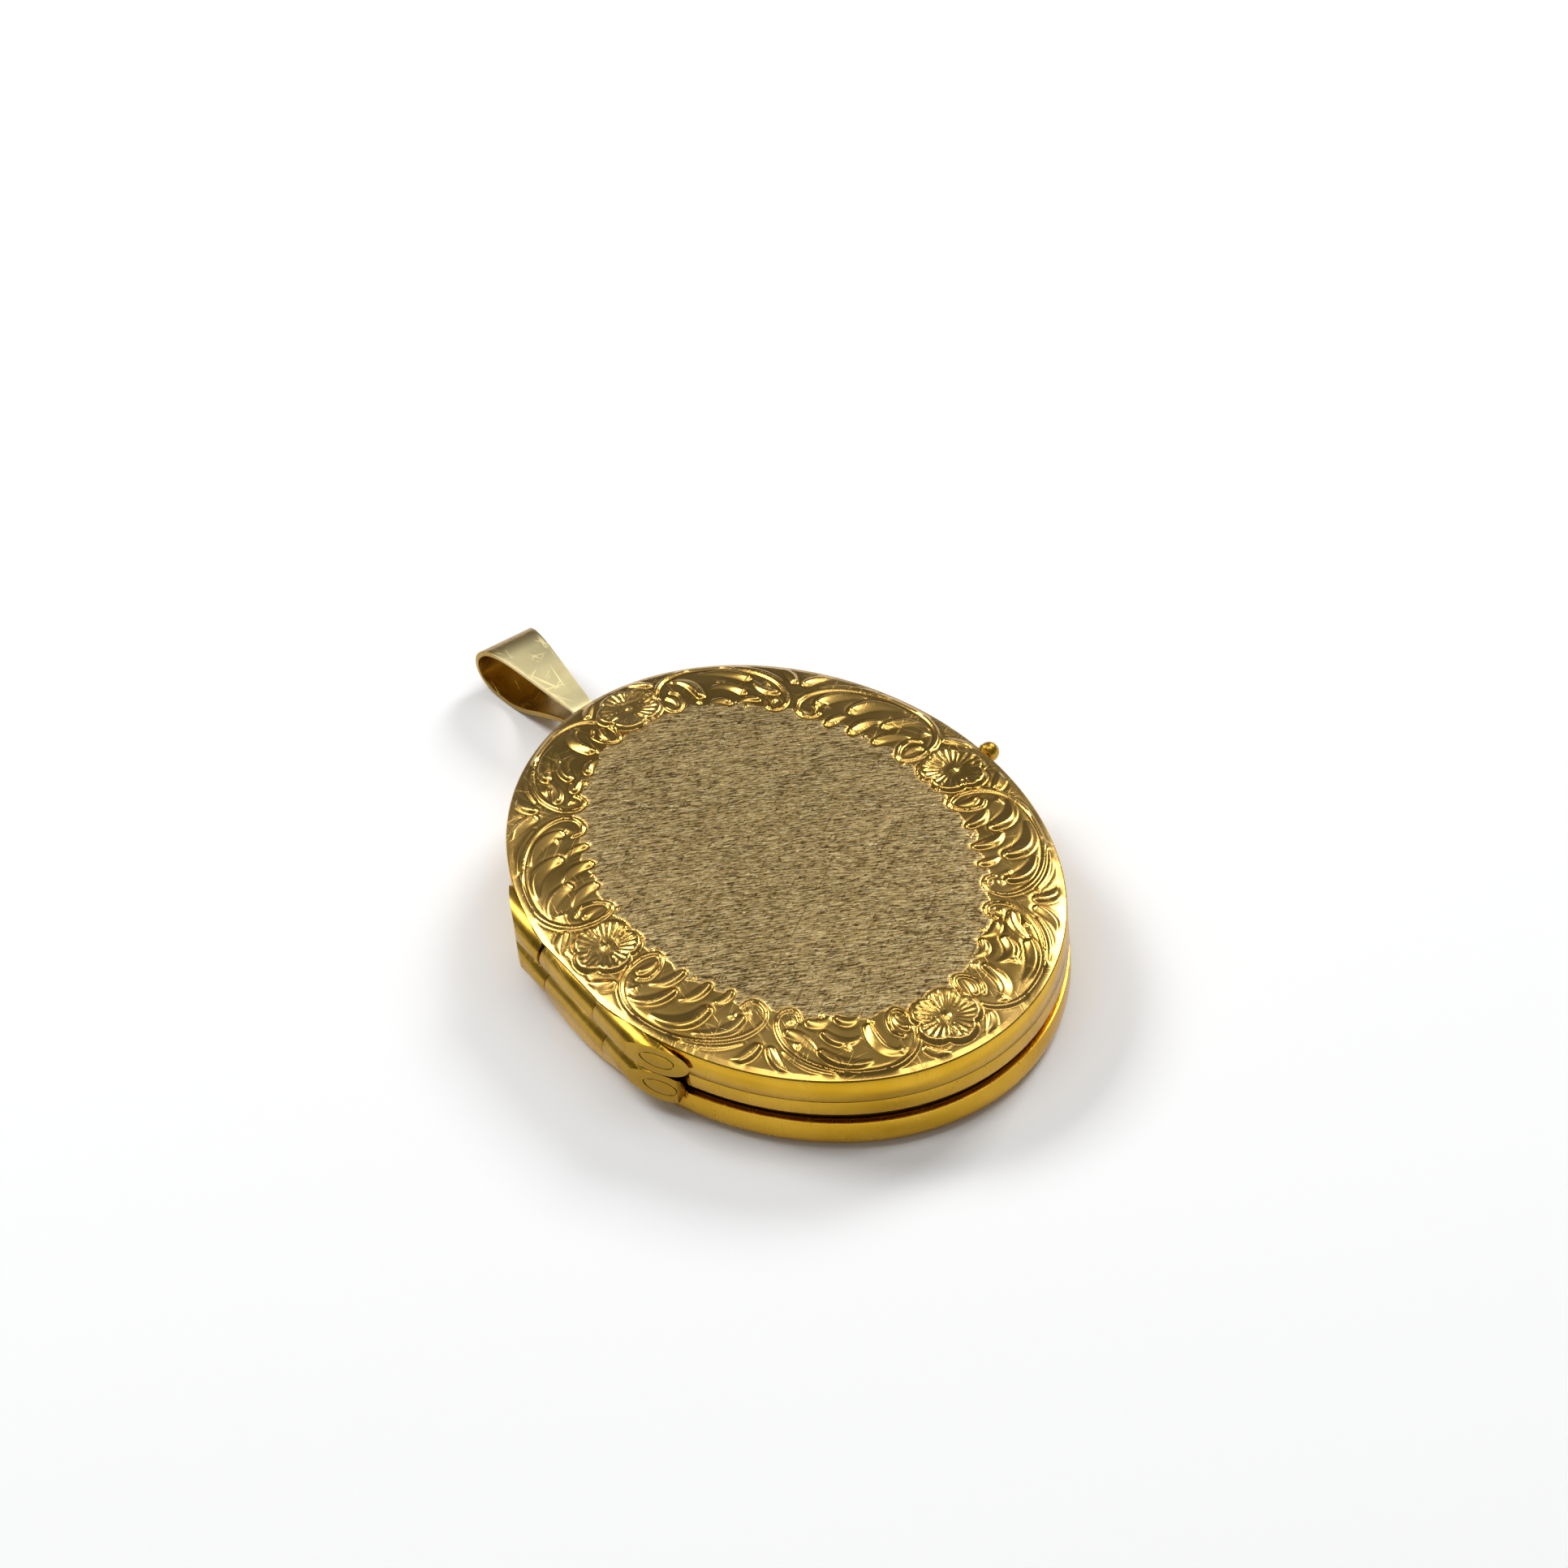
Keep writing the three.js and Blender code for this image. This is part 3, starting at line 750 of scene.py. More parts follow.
knuckle_slot = block_tool((-HALF_WIDTH - 2, HINGE_X - 0.5), (-2.65, 2.95), (3.2, 5.3))
front_tools = (*hinge_channel("front"), knuckle_slot)
cut_away(front_cover, *front_tools)
throw_away(*front_tools)


def border_place(x, y):
    """How far in from the rim each point is, and its turning angle on the oval there."""
    inset = np.zeros_like(x)
    for _ in range(14):
        wide, long = HALF_WIDTH - inset, HALF_LENGTH - inset
        miss = (x / wide) ** 2 + (y / long) ** 2 - 1
        slope = 2 * x ** 2 / wide ** 3 + 2 * y ** 2 / long ** 3 + 1e-9
        inset = np.clip(inset - miss / slope, -0.5, 8.0)
    return inset, np.arctan2(y / (HALF_LENGTH - inset), x / (HALF_WIDTH - inset))


# The pattern is drawn for a cell DRAWN_CELL long, from the middle of a flower to the junction of
# two scrolls, and turned over at each. Distances along are taken RUN_INSET in from the rim.
DRAWN_CELL = 10.8
SIDE_CELL_SHARE = 0.54
RUN_INSET = 2.2
turns = np.linspace(0, math.pi / 2, 400)
run_x = (HALF_WIDTH - RUN_INSET) * np.cos(turns)
run_y = (HALF_LENGTH - RUN_INSET) * np.sin(turns)
run = np.concatenate([[0], np.cumsum(np.hypot(np.diff(run_x), np.diff(run_y)))])

# Scroll lines: (route, half width, height). Routes are (along, inset) points.
SCROLLS = [
    ([(2.85, 2.35), (3.3, 2.75), (3.3, 3.5), (2.9, 4.08), (2.38, 4.15), (2.0, 3.6), (1.95, 2.75),
      (2.2, 1.85), (2.85, 1.08), (3.9, 0.56), (5.2, 0.42), (6.6, 0.52), (8.0, 0.95), (9.2, 1.6),
      (10.05, 2.45), (10.45, 3.3), (10.3, 4.0), (9.75, 4.33), (9.2, 4.2), (8.95, 3.75)], 0.15, 0.12),
    ([(7.0, 0.42), (8.0, 0.62), (8.9, 1.0), (9.7, 1.55)], 0.13, 0.06),
]
# Leaves: (tail, bend, head, half width, height, where the ridge lies across).
SIDE_LEAVES = [
    ((3.3, 1.2), (4.5, 1.2), (5.0, 2.7), 0.40, 0.19, -0.3),
    ((5.0, 1.0), (6.8, 1.0), (7.2, 2.6), 0.46, 0.21, -0.35),
    ((7.3, 1.25), (8.9, 1.7), (9.2, 3.0), 0.42, 0.20, -0.35),
    ((3.6, 2.6), (4.4, 3.0), (4.6, 3.95), 0.36, 0.18, -0.3),
    ((5.6, 2.6), (6.3, 3.1), (6.4, 4.1), 0.38, 0.18, -0.3),
    ((7.4, 3.3), (7.9, 3.7), (8.0, 4.25), 0.30, 0.15, -0.2),
    ((2.75, 3.9), (2.9, 3.1), (2.55, 2.75), 0.26, 0.12, 0.2),
    ((0.9, 0.15), (1.6, 0.5), (2.1, 1.2), 0.34, 0.17, 0.3),
    ((9.2, 0.3), (10.1, 0.5), (10.45, 1.5), 0.36, 0.18, -0.3),
]
END_LEAVES = [
    ((3.0, 1.4), (4.4, 1.2), (4.6, 3.2), 0.42, 0.20, 0.35),
    ((5.0, 1.1), (6.4, 0.8), (7.6, 1.7), 0.42, 0.20, -0.35),
    ((5.4, 2.7), (6.4, 2.0), (7.3, 3.0), 0.40, 0.19, -0.3),
    ((7.9, 1.8), (8.6, 2.8), (9.6, 2.8), 0.38, 0.18, 0.3),
    ((5.0, 4.2), (5.7, 3.5), (6.5, 4.0), 0.34, 0.17, 0.0),
    ((7.0, 4.2), (7.4, 3.5), (8.4, 3.6), 0.34, 0.17, 0.3),
    ((2.8, 3.95), (2.95, 3.2), (2.5, 2.8), 0.26, 0.12, 0.2),
    ((0.8, 0.12), (1.6, 0.45), (2.1, 1.15), 0.32, 0.17, 0.3),
    ((9.2, 0.35), (10.0, 0.45), (10.4, 1.5), 0.36, 0.18, -0.3),
]
# Three-sided punch marks: (along, inset, size, turn, height).
SIDE_PUNCHES = [(3.1, 1.75, 0.34, 20, 0.14), (8.75, 3.0, 0.32, 10, 0.12), (5.5, 4.25, 0.24, 60, 0.10),
                (2.1, 4.35, 0.26, 15, 0.11), (9.5, 3.4, 0.34, 70, 0.13)]
END_PUNCHES = [(6.1, 2.05, 0.36, 50, 0.15), (4.3, 3.75, 0.30, 10, 0.13), (8.9, 2.1, 0.34, 80, 0.14),
               (7.6, 4.3, 0.30, 40, 0.13), (3.3, 1.35, 0.32, 35, 0.13), (9.55, 3.6, 0.36, 30, 0.14)]
# A bright facet cut along the rim beside each flower: its route, half width and depth.
RIM_CUT = ([(0.1, 0.52), (0.75, 0.676), (1.4, 0.52)], 0.10, 0.04)


def along_route(u, t, route):
    """Distance from each point to the route, which side it lies on, and its share of the way."""
    far = np.full(u.shape, 99.0)
    side = np.zeros(u.shape)
    share = np.zeros(u.shape)
    lengths = [math.dist(a, b) for a, b in zip(route, route[1:])]
    total = sum(lengths)
    done = 0
    for (a, b), length in zip(zip(route, route[1:]), lengths):
        du, dt = (b[0] - a[0]) / length, (b[1] - a[1]) / length
        reach = np.clip((u - a[0]) * du + (t - a[1]) * dt, 0, length)
        off_u, off_t = u - a[0] - reach * du, t - a[1] - reach * dt
        gap = np.hypot(off_u, off_t)
        near = gap < far
        far = np.where(near, gap, far)
        side = np.where(near, np.sign(du * off_t - dt * off_u), side)
        share = np.where(near, (done + reach) / total, share)
        done += length
    return far, side, share


def curve_through(points, per_span):
    """A smooth run of points through those given."""
    full = [points[0], *points, points[-1]]
    smooth = []
    for p0, p1, p2, p3 in zip(full, full[1:], full[2:], full[3:]):
        p0, p1, p2, p3 = map(np.array, (p0, p1, p2, p3))
        for s in np.linspace(0, 1, per_span, endpoint=False):
            smooth.append(tuple(0.5 * (
                2 * p1 + (p2 - p0) * s + (2 * p0 - 5 * p1 + 4 * p2 - p3) * s ** 2
                + (3 * p1 - p0 - 3 * p2 + p3) * s ** 3
            )))
    return smooth + [points[-1]]


def engraved_cell(u, t, leaves, punches, chance):
    """Relief in one cell: heights above the ground, and where the graver has been."""
    raised = np.zeros(u.shape)
    cut = np.zeros(u.shape)
    for tail, bend, head, wide, tall, ridge in leaves:
        shift = chance.uniform(-0.08, 0.08, 6)
        wide = wide * chance.uniform(0.92, 1.12)
        tail, bend, head = np.array((tail, bend, head)) + shift.reshape(3, 2)
        route = []
        for s in np.linspace(0, 1, 17):
            route.append(tuple((1 - s) ** 2 * tail + 2 * s * (1 - s) * bend + s ** 2 * head))
        far, side, share = along_route(u, t, route)
        width = wide * (0.15 + 0.80 * np.sin(math.pi * (0.06 + 0.66 * share)))
        across = np.clip(side * far / width, -1, 1)
        flank = np.where(across < ridge, (across - ridge) / (1 + ridge), (across - ridge) / (1 - ridge))
        dome = np.clip(1 - np.abs(flank) ** 1.25, 0, 1)
        raised = np.maximum(raised, tall * (0.25 + 0.75 * share ** 0.8) * dome)
        cut = np.maximum(cut, 0.7 * np.exp(-(((far - width - 0.05) / 0.10) ** 2)) * share)
    for along, inset, size, turn, tall in punches:
        turn = math.radians(turn + chance.uniform(-25, 25))
        pu, pt = u - along - chance.uniform(-0.1, 0.1), t - inset - chance.uniform(-0.1, 0.1)
        worst = np.full(u.shape, -9.0)
        for k in range(3):
            face = turn + k * 2 * math.pi / 3
            worst = np.maximum(worst, (pu * math.cos(face) + pt * math.sin(face)) / (size * 0.62))
        raised = np.maximum(raised, tall * np.clip(1 - worst, 0, 1))
    for route, wide, tall in SCROLLS:
        far, _, share = along_route(u, t, curve_through(route, 5))
        thin = wide * (0.7 + 0.45 * np.sin(math.pi * share))
        bead = np.cos(math.pi / 2 * np.clip(far / thin, 0, 1)) ** 1.2
        clear = np.clip((far - thin) / 0.16, 0, 1)
        groove = np.exp(-(((far - thin - 0.06) / 0.09) ** 2)) * 0.55
        raised = np.maximum(raised * clear, tall * bead)
        cut = np.maximum(cut * clear, groove)
    route, wide, deep = RIM_CUT
    far, _, share = along_route(u, t, route)
    width = wide * np.sin(math.pi * np.clip(share, 0.02, 0.98))
    return raised, np.maximum(cut, np.clip(1 - far / width, 0, 1) * deep / GRAVER_DEPTH)


FLOWER_INSET = 2.5
FLOWER_RADIUS = 1.98


def flower(dx, dy, lean):
    """A five-lobed flower: domed petals with thick scalloped rims, fine cuts and a button."""
    r = np.hypot(dx, dy)
    turn = np.arctan2(dy, dx) - lean
    lobe = np.abs(np.cos(2.5 * turn))
    edge = FLOWER_RADIUS * (0.80 + 0.20 * lobe ** 0.55)
    share = r / edge
    body = np.clip((share - 0.12) / 0.66, 0, 1) ** 1.5
    lip = np.clip((1 - share) / 0.10, 0, 1)
    scallop = 0.02 * np.abs(np.sin(7.5 * turn)) * (share > 0.72)
    petal = (0.04 + 0.15 * body + scallop) * lip
    spoke = np.abs(np.sin(12 * turn))
    cut_band = np.clip((0.88 - share) / 0.12, 0, 1) * np.clip((share - 0.16) / 0.1, 0, 1)
    rays = np.clip(1 - spoke / 0.7, 0, 1) * cut_band
    part_band = np.clip((share - 0.45) / 0.3, 0, 1) * np.clip((1.0 - share) / 0.05, 0, 1)
    parting = np.clip(1 - lobe / 0.35, 0, 1) * part_band
    knob = 0.15 * np.clip(1 - r / 0.34, 0, 1) ** 0.8
    height = np.maximum(petal - 0.10 * rays - 0.09 * parting, knob)
    return np.where(share < 1, np.maximum(height, 0.0), 0.0), share


def relief(x, y):
    """The engraving's height above the plain face, how brushed and how cut it is, and the inset."""
    inset, angle = border_place(x, y)
    along = np.interp(np.arctan2(np.abs(np.sin(angle)), np.abs(np.cos(angle))), turns, run)
    side_cell = run[-1] * SIDE_CELL_SHARE
    near_side = along < side_cell
    end_stretch = DRAWN_CELL / (run[-1] - side_cell)
    u = np.where(near_side, along * DRAWN_CELL / side_cell, (run[-1] - along) * end_stretch)
    raised = np.zeros_like(x)
    cut = np.zeros_like(x)
    inside = inset < ENGRAVED_WIDTH
    for cell in range(8):
        right, top, side_flower = cell & 1, cell & 2, cell & 4
        quarter = ((x > 0) == bool(right)) & ((y > 0) == bool(top))
        mine = inside & quarter & (near_side == bool(side_flower))
        chance = np.random.default_rng(40 + cell)
        leaves, punches = (SIDE_LEAVES, SIDE_PUNCHES) if side_flower else (END_LEAVES, END_PUNCHES)
        raised[mine], cut[mine] = engraved_cell(u[mine], inset[mine], leaves, punches, chance)
    blossom = np.zeros_like(x)
    blossom_share = np.full_like(x, 9.0)
    centres = ((HALF_WIDTH - FLOWER_INSET, 0), (0, HALF_LENGTH - FLOWER_INSET))
    for cx, cy in (*centres, (-centres[0][0], 0), (0, -centres[1][1])):
        height, share = flower(x - cx, y - cy, math.atan2(cy, cx) + 0.12)
        blossom = np.maximum(blossom, height)
        blossom_share = np.minimum(blossom_share, share)
    clear = np.clip((blossom_share - 1) / 0.06, 0, 1)
    raised = np.where(blossom_share < 1, blossom, raised * clear)
    outline = 1 - np.clip((blossom_share - 1) / 0.08, 0, 1)
    cut = np.where(blossom_share < 1, 0, np.maximum(cut * clear, outline))
    wander = 0.16 * np.sin(angle * 23) + 0.10 * np.sin(angle * 41 + 1.0)
    brushed = np.clip((inset - 4.0 - wander) / 0.10, 0, 1)
    brushed = brushed * (1 - np.clip(raised / 0.02, 0, 1)) * (1 - np.clip(cut / 0.5, 0, 1))
    fade = np.clip((inset - RIM_BEVEL) / 0.10, 0, 1) * np.clip((ENGRAVED_WIDTH - inset) / 0.15, 0, 1)
    return (raised - GRAVER_DEPTH * cut) * fade, brushed, cut * fade, inset


# Burnishing rounds the relief: each point goes half way to the mean of those beside it.
face_mesh = front_cover.data
spot = points_of(face_mesh)
height, brushed, cut, inset = relief(spot[:, 0], spot[:, 1])
first, second = edges_of(face_mesh).T
beside = np.bincount(first, height[second], len(height))
beside += np.bincount(second, height[first], len(height))
neighbours = np.bincount(first, minlength=len(height)) + np.bincount(second, minlength=len(height))
height = 0.5 * height + 0.5 * beside / neighbours
plain = crown_height(inset)
on_face = (inset > RIM_BEVEL - 0.02) & (np.abs(spot[:, 2] - plain) < 0.22) & (inset < ENGRAVED_WIDTH + 0.01)
spot[:, 2] = np.where(on_face, plain + height, spot[:, 2])
face_mesh.vertices.foreach_set("co", (spot * MM).ravel())
face_mesh.update()
upper_side = (spot[:, 2] > plain - 0.25) & (inset > 0.02)
for label, values in (("brushed", brushed), ("graved", cut), ("face", 1.0)):
    layer = face_mesh.attributes.new(label, "FLOAT", "POINT")
    layer.data.foreach_set("value", np.where(upper_side, values, 0).astype(np.float32))
smooth_piece(front_cover, 50)

# The crossing strokes of the brushed centre: long ones down to the right, short ones across,
# with a fine grit between them and a few deep stray scratches. Their bright and dark streaks also go into
# the colour, partly as the grain of the brushing and partly as painted highlights and painted shade; the
# Glint output is a painted glint.
linen, _, linen_out = new_group("crossed_brushing", {}, ["Height", "Shade", "Glint", "Scratch"])
long_strokes = noise_of(linen, in_millimetres(linen, 28, (1.6, 8.0, 1.0)), 1.0, 3, 0.65)
fine_strokes = noise_of(linen, in_millimetres(linen, 25, (1.6, 14.0, 2.0)), 1.0, 2, 0.6)
cross_strokes = noise_of(linen, in_millimetres(linen, -38, (1.5, 11.0, 1.0)), 1.0, 2, 0.6)
grit = noise_of(linen, in_millimetres(linen, 28, (5.0, 9.0, 4.0)), 1.0, 2, 0.6)
broad = noise_of(linen, in_millimetres(linen, 28, (0.2, 0.5, 0.5)), 1.0, 3, 0.6)
bright_strokes = noise_of(linen, in_millimetres(linen, 31, (0.9, 12.0, 1.0)), 1.0, 1, 0.5)
dark_strokes = noise_of(linen, in_millimetres(linen, 27, (2.2, 9.0, 1.5)), 1.0, 1, 0.5)
stray_strokes = noise_of(linen, in_millimetres(linen, -38, (0.25, 5.5, 1.0)), 1.0, 2, 0.5)
lit = maths(linen, "MAXIMUM", range_of(linen, fine_strokes, 0.54, 0.62),
            range_of(linen, bright_strokes, 0.57, 0.63))
dim = maths(linen, "MAXIMUM", range_of(linen, cross_strokes, 0.59, 0.66),
            range_of(linen, dark_strokes, 0.58, 0.66))
ridged = maths(linen, "MULTIPLY", maths(linen, "SUBTRACT", lit, dim), 0.16)
for layer, share in ((long_strokes, 0.55), (grit, 0.30), (broad, 0.15)):
    ridged = maths(linen, "ADD", ridged, maths(linen, "MULTIPLY", layer, share))
glint = maths(linen, "MULTIPLY", lit, range_of(linen, grit, 0.46, 0.58))
linen.links.new(ridged, linen_out.inputs["Height"])
linen.links.new(range_of(linen, ridged, 0.38, 0.66), linen_out.inputs["Shade"])
linen.links.new(glint, linen_out.inputs["Glint"])
linen.links.new(range_of(linen, stray_strokes, 0.675, 0.71), linen_out.inputs["Scratch"])

engraved_gold, tree, shader = metal("engraved_and_brushed_gold")


def painted(label):
    """How far each point of the cover belongs to the face, the cuts or the brushed centre."""
    layer = tree.nodes.new("ShaderNodeAttribute")
    layer.attribute_name = label
    return layer.outputs["Fac"]


worn = use_group(tree, wear, Amount=0.7)
shine = use_group(tree, polish, Wave=0.6, Pits=0.6)
brush = use_group(tree, linen)
cloud = worn.outputs["Cloud"]
clouded = range_of(tree, cloud, 0.35, 0.65)
# Painted shade: the engraved face is painted in a darker copy of the wall's gold.
face_gold_painted_darker = two_colours(tree, clouded, (0.52, 0.315, 0.07), (0.64, 0.405, 0.115))
wall_gold = two_colours(tree, clouded, CASE_DARK, CASE_LIGHT)
plain_gold = two_colours(tree, painted("face"), wall_gold, face_gold_painted_darker)
# Painted shade: the engraved cuts, and the grooves beside the leaves, scrolls and flowers, are painted dark
# brown.
graved = maths(tree, "MULTIPLY", painted("graved"), 0.85)
cuts_with_painted_shade = two_colours(tree, graved, plain_gold, (0.30, 0.16, 0.02))
# The brushed centre is painted a darker gold than the polished face, as painted shade, and its bright
# strokes carry painted glints.
panel_base = two_colours(tree, brush.outputs["Shade"], (0.08, 0.047, 0.013), (0.65, 0.46, 0.19))
glinting = maths(tree, "MULTIPLY", brush.outputs["Glint"], 0.8)
panel_lit = two_colours(tree, glinting, panel_base, (0.85, 0.72, 0.40))
scored = maths(tree, "MULTIPLY", brush.outputs["Scratch"], 0.6)
panel_gold = two_colours(tree, scored, panel_lit, (0.10, 0.06, 0.02))
tree.links.new(two_colours(tree, painted("brushed"), cuts_with_painted_shade, panel_gold), shader.inputs["Base Color"])
polish_rough = maths(tree, "ADD", range_of(tree, cloud, 0.3, 0.7, 0.18, 0.27),
                     maths(tree, "MULTIPLY", worn.outputs["Scratch"], 0.2))
brush_rough = range_of(tree, brush.outputs["Glint"], 0, 1, 0.48, 0.36)
rough_mix = tree.nodes.new("ShaderNodeMix")
tree.links.new(painted("brushed"), rough_mix.inputs["Factor"])
tree.links.new(polish_rough, rough_mix.inputs["A"])
tree.links.new(brush_rough, rough_mix.inputs["B"])
tree.links.new(rough_mix.outputs["Result"], shader.inputs["Roughness"])
waved = add_bump(tree, shine.outputs["Height"], 0.04, 0.6)
scratched = add_bump(tree, worn.outputs["Scratch"], 0.010, 0.5, waved)
brush_height = maths(tree, "MULTIPLY", brush.outputs["Height"], painted("brushed"))
tree.links.new(add_bump(tree, brush_height, 0.06, 1.0, scratched), shader.inputs["Normal"])
finish_piece(front_cover, "front", "front_cover", engraved_gold)


# ---------------------------------------------------------------------------------------------
# The thumb bead. A small gold ball on a foot of solder at the opening side of the front cover,
# which a thumbnail lifts.
BEAD_RADIUS = 0.56
BEAD_CENTRE = [c * MM for c in (14.22, 0.9, 4.5)]
SOLDER_REACH = 13.98
SOLDER_SPREAD = 1.12
clear_selection()
bpy.ops.mesh.primitive_uv_sphere_add(
    segments=64, ring_count=40, radius=BEAD_RADIUS * MM, location=BEAD_CENTRE
)
bead = bpy.context.object
bead.name = "thumb_bead_ball"
bpy.ops.object.transform_apply(location=True)
bpy.ops.object.mode_set(mode="EDIT")
bpy.ops.mesh.select_all(action="DESELECT")
bpy.ops.object.mode_set(mode="OBJECT")
for vertex in bead.data.vertices:
    vertex.select = vertex.co.x < SOLDER_REACH * MM
bpy.ops.object.mode_set(mode="EDIT")
bpy.ops.transform.resize(value=(1, SOLDER_SPREAD, SOLDER_SPREAD), center_override=BEAD_CENTRE)
bpy.ops.object.mode_set(mode="OBJECT")
case_wall = turn_oval("case_wall", plate(-1, 7, HALF_LENGTH + 0.015, 0.01), 512, closed=False)
cut_away(bead, case_wall)
smooth_piece(bead, 40)
finish_piece(bead, "front", "front_thumb_bead", hinge_gold)


# ---------------------------------------------------------------------------------------------
# The bail ring. One round gold wire bent to a square-shouldered loop, its two feet soldered to
# the frame's band at the top.
BAIL_X, RING_BAR_Y, RING_Z = joint_at["bail_swing"]
RING_WIRE = 0.36
RING_HALF_WIDTH = 1.2
RING_CORNER = 0.45
RING_FOOT_Y = HALF_LENGTH - 0.8


def bend_wire(x):
    """Turns the end of the wire through a quarter, about a corner centred at that X."""
    bpy.ops.mesh.spin(
        steps=12, angle=-math.pi / 2, axis=(0, 0, 1),
        center=(x * MM, (RING_BAR_Y - RING_CORNER) * MM, RING_Z * MM),
    )


clear_selection()
bpy.ops.mesh.primitive_circle_add(
    vertices=40, radius=RING_WIRE * MM, fill_type="NGON", rotation=(math.pi / 2, 0, 0),
    location=((BAIL_X - RING_HALF_WIDTH) * MM, RING_FOOT_Y * MM, RING_Z * MM),
)
ring = bpy.context.object
ring.name = "bail_ring_wire"
bpy.ops.object.transform_apply(location=True, rotation=True)
bpy.ops.object.mode_set(mode="EDIT")
bpy.ops.mesh.select_all(action="SELECT")
leg = (RING_BAR_Y - RING_CORNER - RING_FOOT_Y) * MM
bar = 2 * (RING_HALF_WIDTH - RING_CORNER) * MM
bpy.ops.mesh.extrude_region_move(TRANSFORM_OT_translate={"value": (0, leg, 0)})
bend_wire(BAIL_X - RING_HALF_WIDTH + RING_CORNER)
bpy.ops.mesh.extrude_region_move(TRANSFORM_OT_translate={"value": (bar, 0, 0)})
bend_wire(BAIL_X + RING_HALF_WIDTH - RING_CORNER)
bpy.ops.mesh.extrude_region_move(TRANSFORM_OT_translate={"value": (0, -leg, 0)})
bpy.ops.mesh.select_all(action="SELECT")
bpy.ops.mesh.remove_doubles(threshold=2e-6)
bpy.ops.mesh.normals_make_consistent(inside=False)
bpy.ops.object.mode_set(mode="OBJECT")
cut_away(ring, case_wall)
throw_away(case_wall)
smooth_piece(ring, 40)
finish_piece(ring, "middle", "bail_ring", hinge_gold)


# ---------------------------------------------------------------------------------------------
# The bail. A gold strip 0.3 mm thick, folded into a drop-shaped loop round the ring's bar and
# soldered end to end behind it. It is widest at the fold and its edges are rubbed round.
BAIL_SHEET = 0.3
BAIL_END_WIDTH = 1.3
BAIL_FOLD_WIDTH = 3.6
FOLD_END = 28.8
LOOP_STEPS = 7
wrap = RING_WIRE + 0.07 + BAIL_SHEET / 2
slant = 0.72 * wrap
bail_route = [
    (RING_BAR_Y - wrap, RING_Z), (RING_BAR_Y - slant, RING_Z + slant), (RING_BAR_Y, RING_Z + wrap),
    (21.0, 3.5), (23.5, 3.52), (25.6, 3.46), (27.2, 3.06), (28.15, 2.3), (28.4, 1.4), (28.0, 0.65),
    (27.0, 0.26), (25.6, 0.2), (24.2, 0.55), (22.8, 1.17), (21.3, 1.8),
    (RING_BAR_Y, RING_Z - wrap), (RING_BAR_Y - slant, RING_Z - slant),
]
past_both_ends = [bail_route[-1], *bail_route, *bail_route[:2]]
loop = curve_through(past_both_ends, LOOP_STEPS)[LOOP_STEPS:-2 * LOOP_STEPS]


def bail_half_width(y):
    """Half the strip's width, which grows evenly from the ring to the fold."""
    share = min(max((y - RING_BAR_Y) / (FOLD_END - RING_BAR_Y), 0), 1)
    return (BAIL_END_WIDTH + share * (BAIL_FOLD_WIDTH - BAIL_END_WIDTH)) / 2


clear_selection()
start_y, start_z = loop[0]
bpy.ops.mesh.primitive_plane_add(size=MM, location=(BAIL_X * MM, start_y * MM, start_z * MM))
bail = bpy.context.object
bail.name = "bail_strip"
bpy.ops.object.transform_apply(location=True)
bpy.ops.object.mode_set(mode="EDIT")
bpy.ops.mesh.select_mode(type="VERT")
bpy.ops.mesh.select_all(action="DESELECT")
bpy.ops.object.mode_set(mode="OBJECT")
for vertex in bail.data.vertices:
    vertex.select = vertex.co.y < start_y * MM
bpy.ops.object.mode_set(mode="EDIT")
bpy.ops.mesh.delete(type="VERT")
bpy.ops.mesh.select_all(action="SELECT")
bpy.ops.transform.translate(value=(0, -0.5 * MM, 0))
bpy.ops.transform.resize(value=(2 * bail_half_width(start_y), 1, 1), center_override=(BAIL_X * MM, 0, 0))
bpy.ops.mesh.subdivide(number_cuts=9)
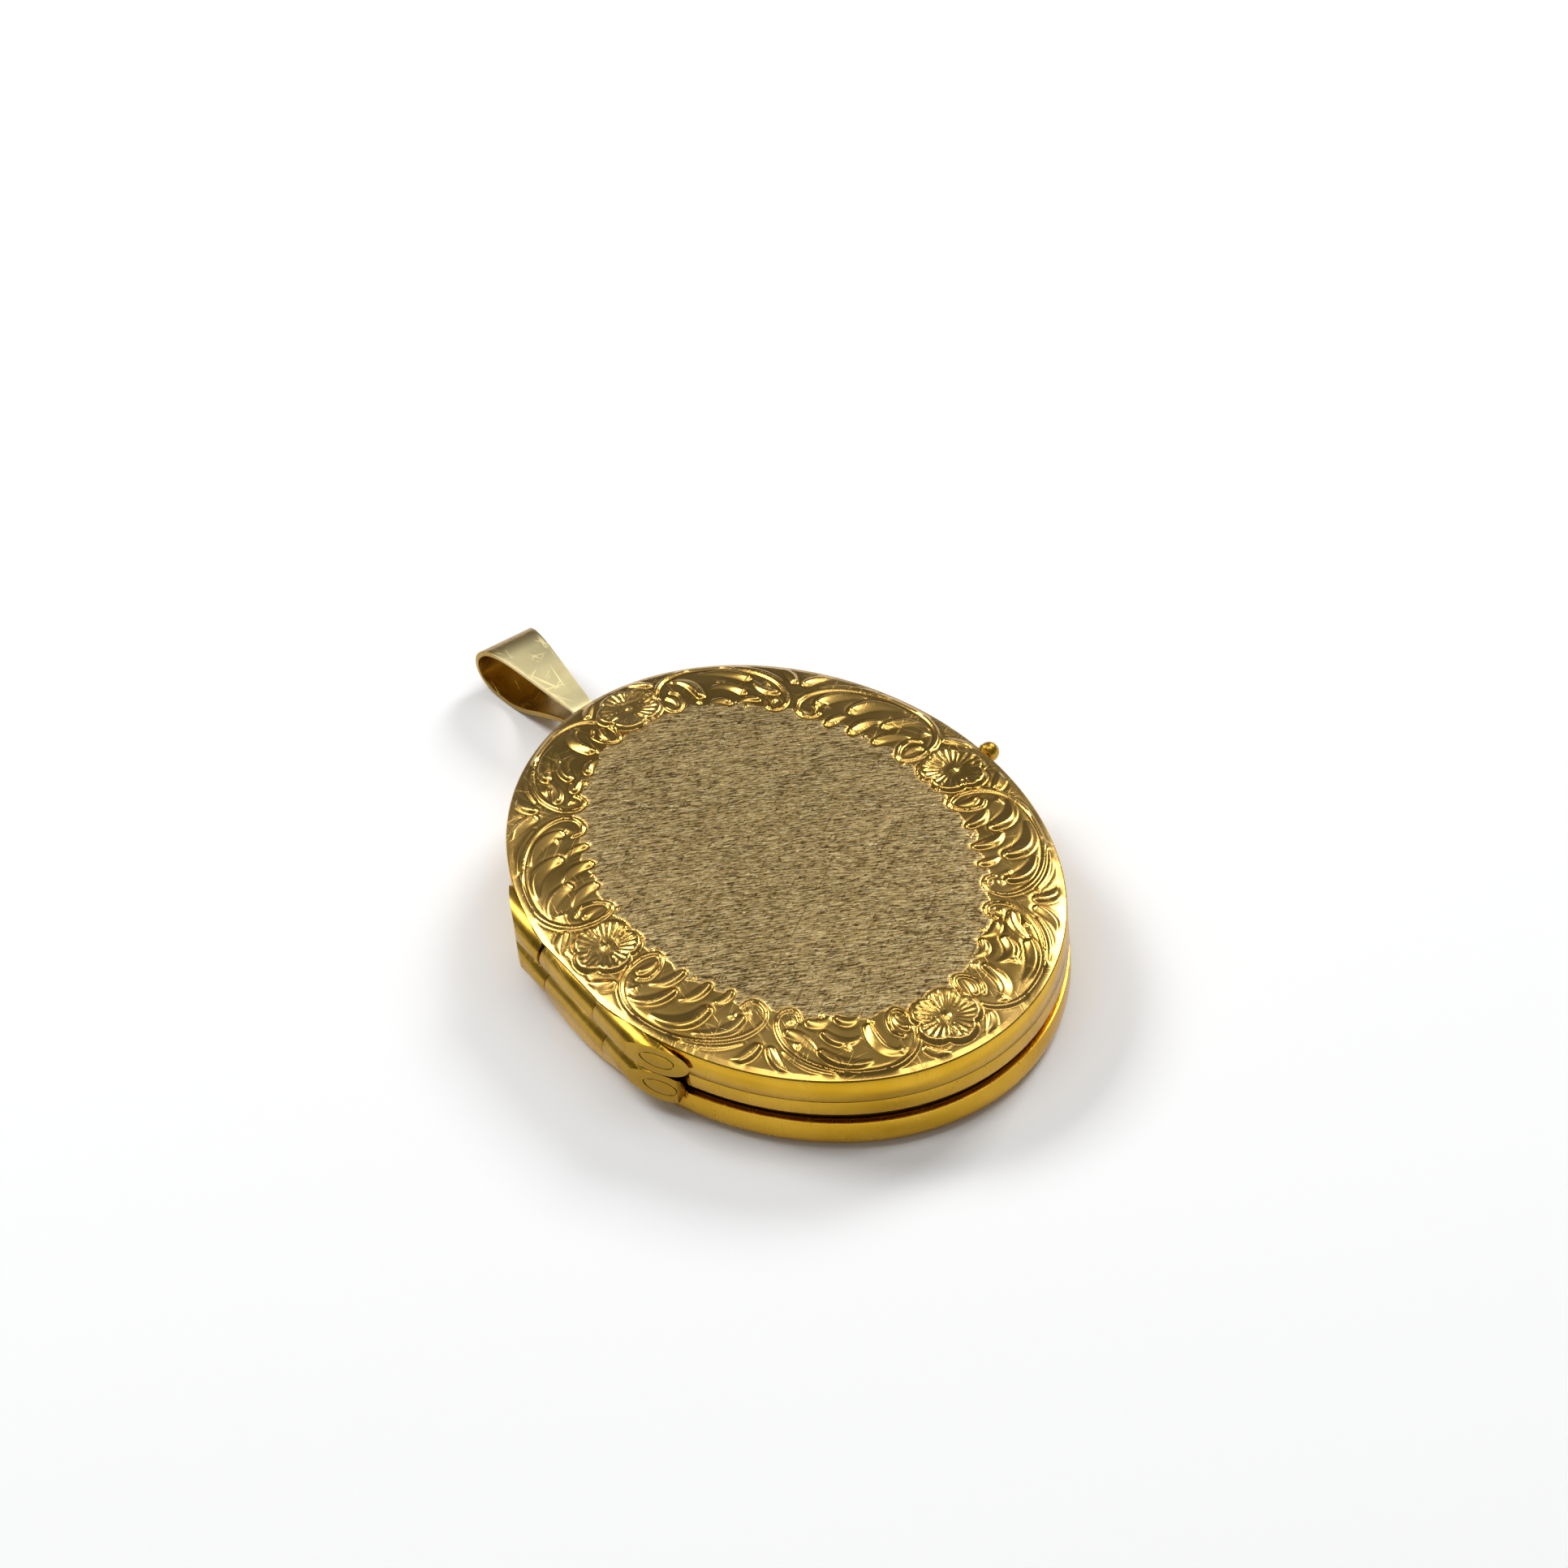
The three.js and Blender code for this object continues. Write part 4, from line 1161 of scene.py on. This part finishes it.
bpy.ops.mesh.select_all(action="SELECT")
y, z = start_y, start_z
for next_y, next_z in loop[1:] + loop[:1]:
    bpy.ops.mesh.extrude_edges_move(
        TRANSFORM_OT_translate={"value": (0, (next_y - y) * MM, (next_z - z) * MM)}
    )
    bpy.ops.transform.resize(value=(bail_half_width(next_y) / bail_half_width(y), 1, 1),
                             center_override=(BAIL_X * MM, 0, 0))
    y, z = next_y, next_z
bpy.ops.mesh.select_all(action="SELECT")
bpy.ops.mesh.remove_doubles(threshold=2e-6)
bpy.ops.mesh.normals_make_consistent(inside=False)
bpy.ops.object.mode_set(mode="OBJECT")
bpy.ops.object.modifier_add(type="SOLIDIFY")
bail.modifiers[-1].thickness = BAIL_SHEET * MM
bail.modifiers[-1].offset = 0
bpy.ops.object.modifier_apply(modifier=bail.modifiers[-1].name)
bevel_edges(bail, 0.07, 3, 50)

# The upper face of the strip is painted pale as a painted highlight and made a little rougher; the rest of
# the strip, the fold with it, is painted a darker gold as painted shade.
bail_gold = polished_gold("bail_gold", (0.44, 0.27, 0.04), (0.32, 0.19, 0.02), 0.20, 1.0, 1.0)
bail_tree = bail_gold.node_tree
bail_shader = bail_tree.nodes["Principled BSDF"]
split = bail_tree.nodes.new("ShaderNodeSeparateXYZ")
bail_tree.links.new(in_millimetres(bail_tree), split.inputs["Vector"])
# Painted highlight: the colour turns pale where the strip lies highest.
upper_face_highlight = range_of(bail_tree, split.outputs["Z"], 3.3, 3.62)
shaded_bail_colour = bail_shader.inputs["Base Color"].links[0].from_socket
bail_colour = two_colours(bail_tree, upper_face_highlight, shaded_bail_colour, (0.96, 0.83, 0.45))
bail_tree.links.new(bail_colour, bail_shader.inputs["Base Color"])
polished = bail_shader.inputs["Roughness"].links[0].from_socket
dulled = maths(bail_tree, "ADD", polished, maths(bail_tree, "MULTIPLY", upper_face_highlight, 0.18))
bail_tree.links.new(dulled, bail_shader.inputs["Roughness"])
smooth_piece(bail, 50)
finish_piece(bail, "bail", "bail", bail_gold)
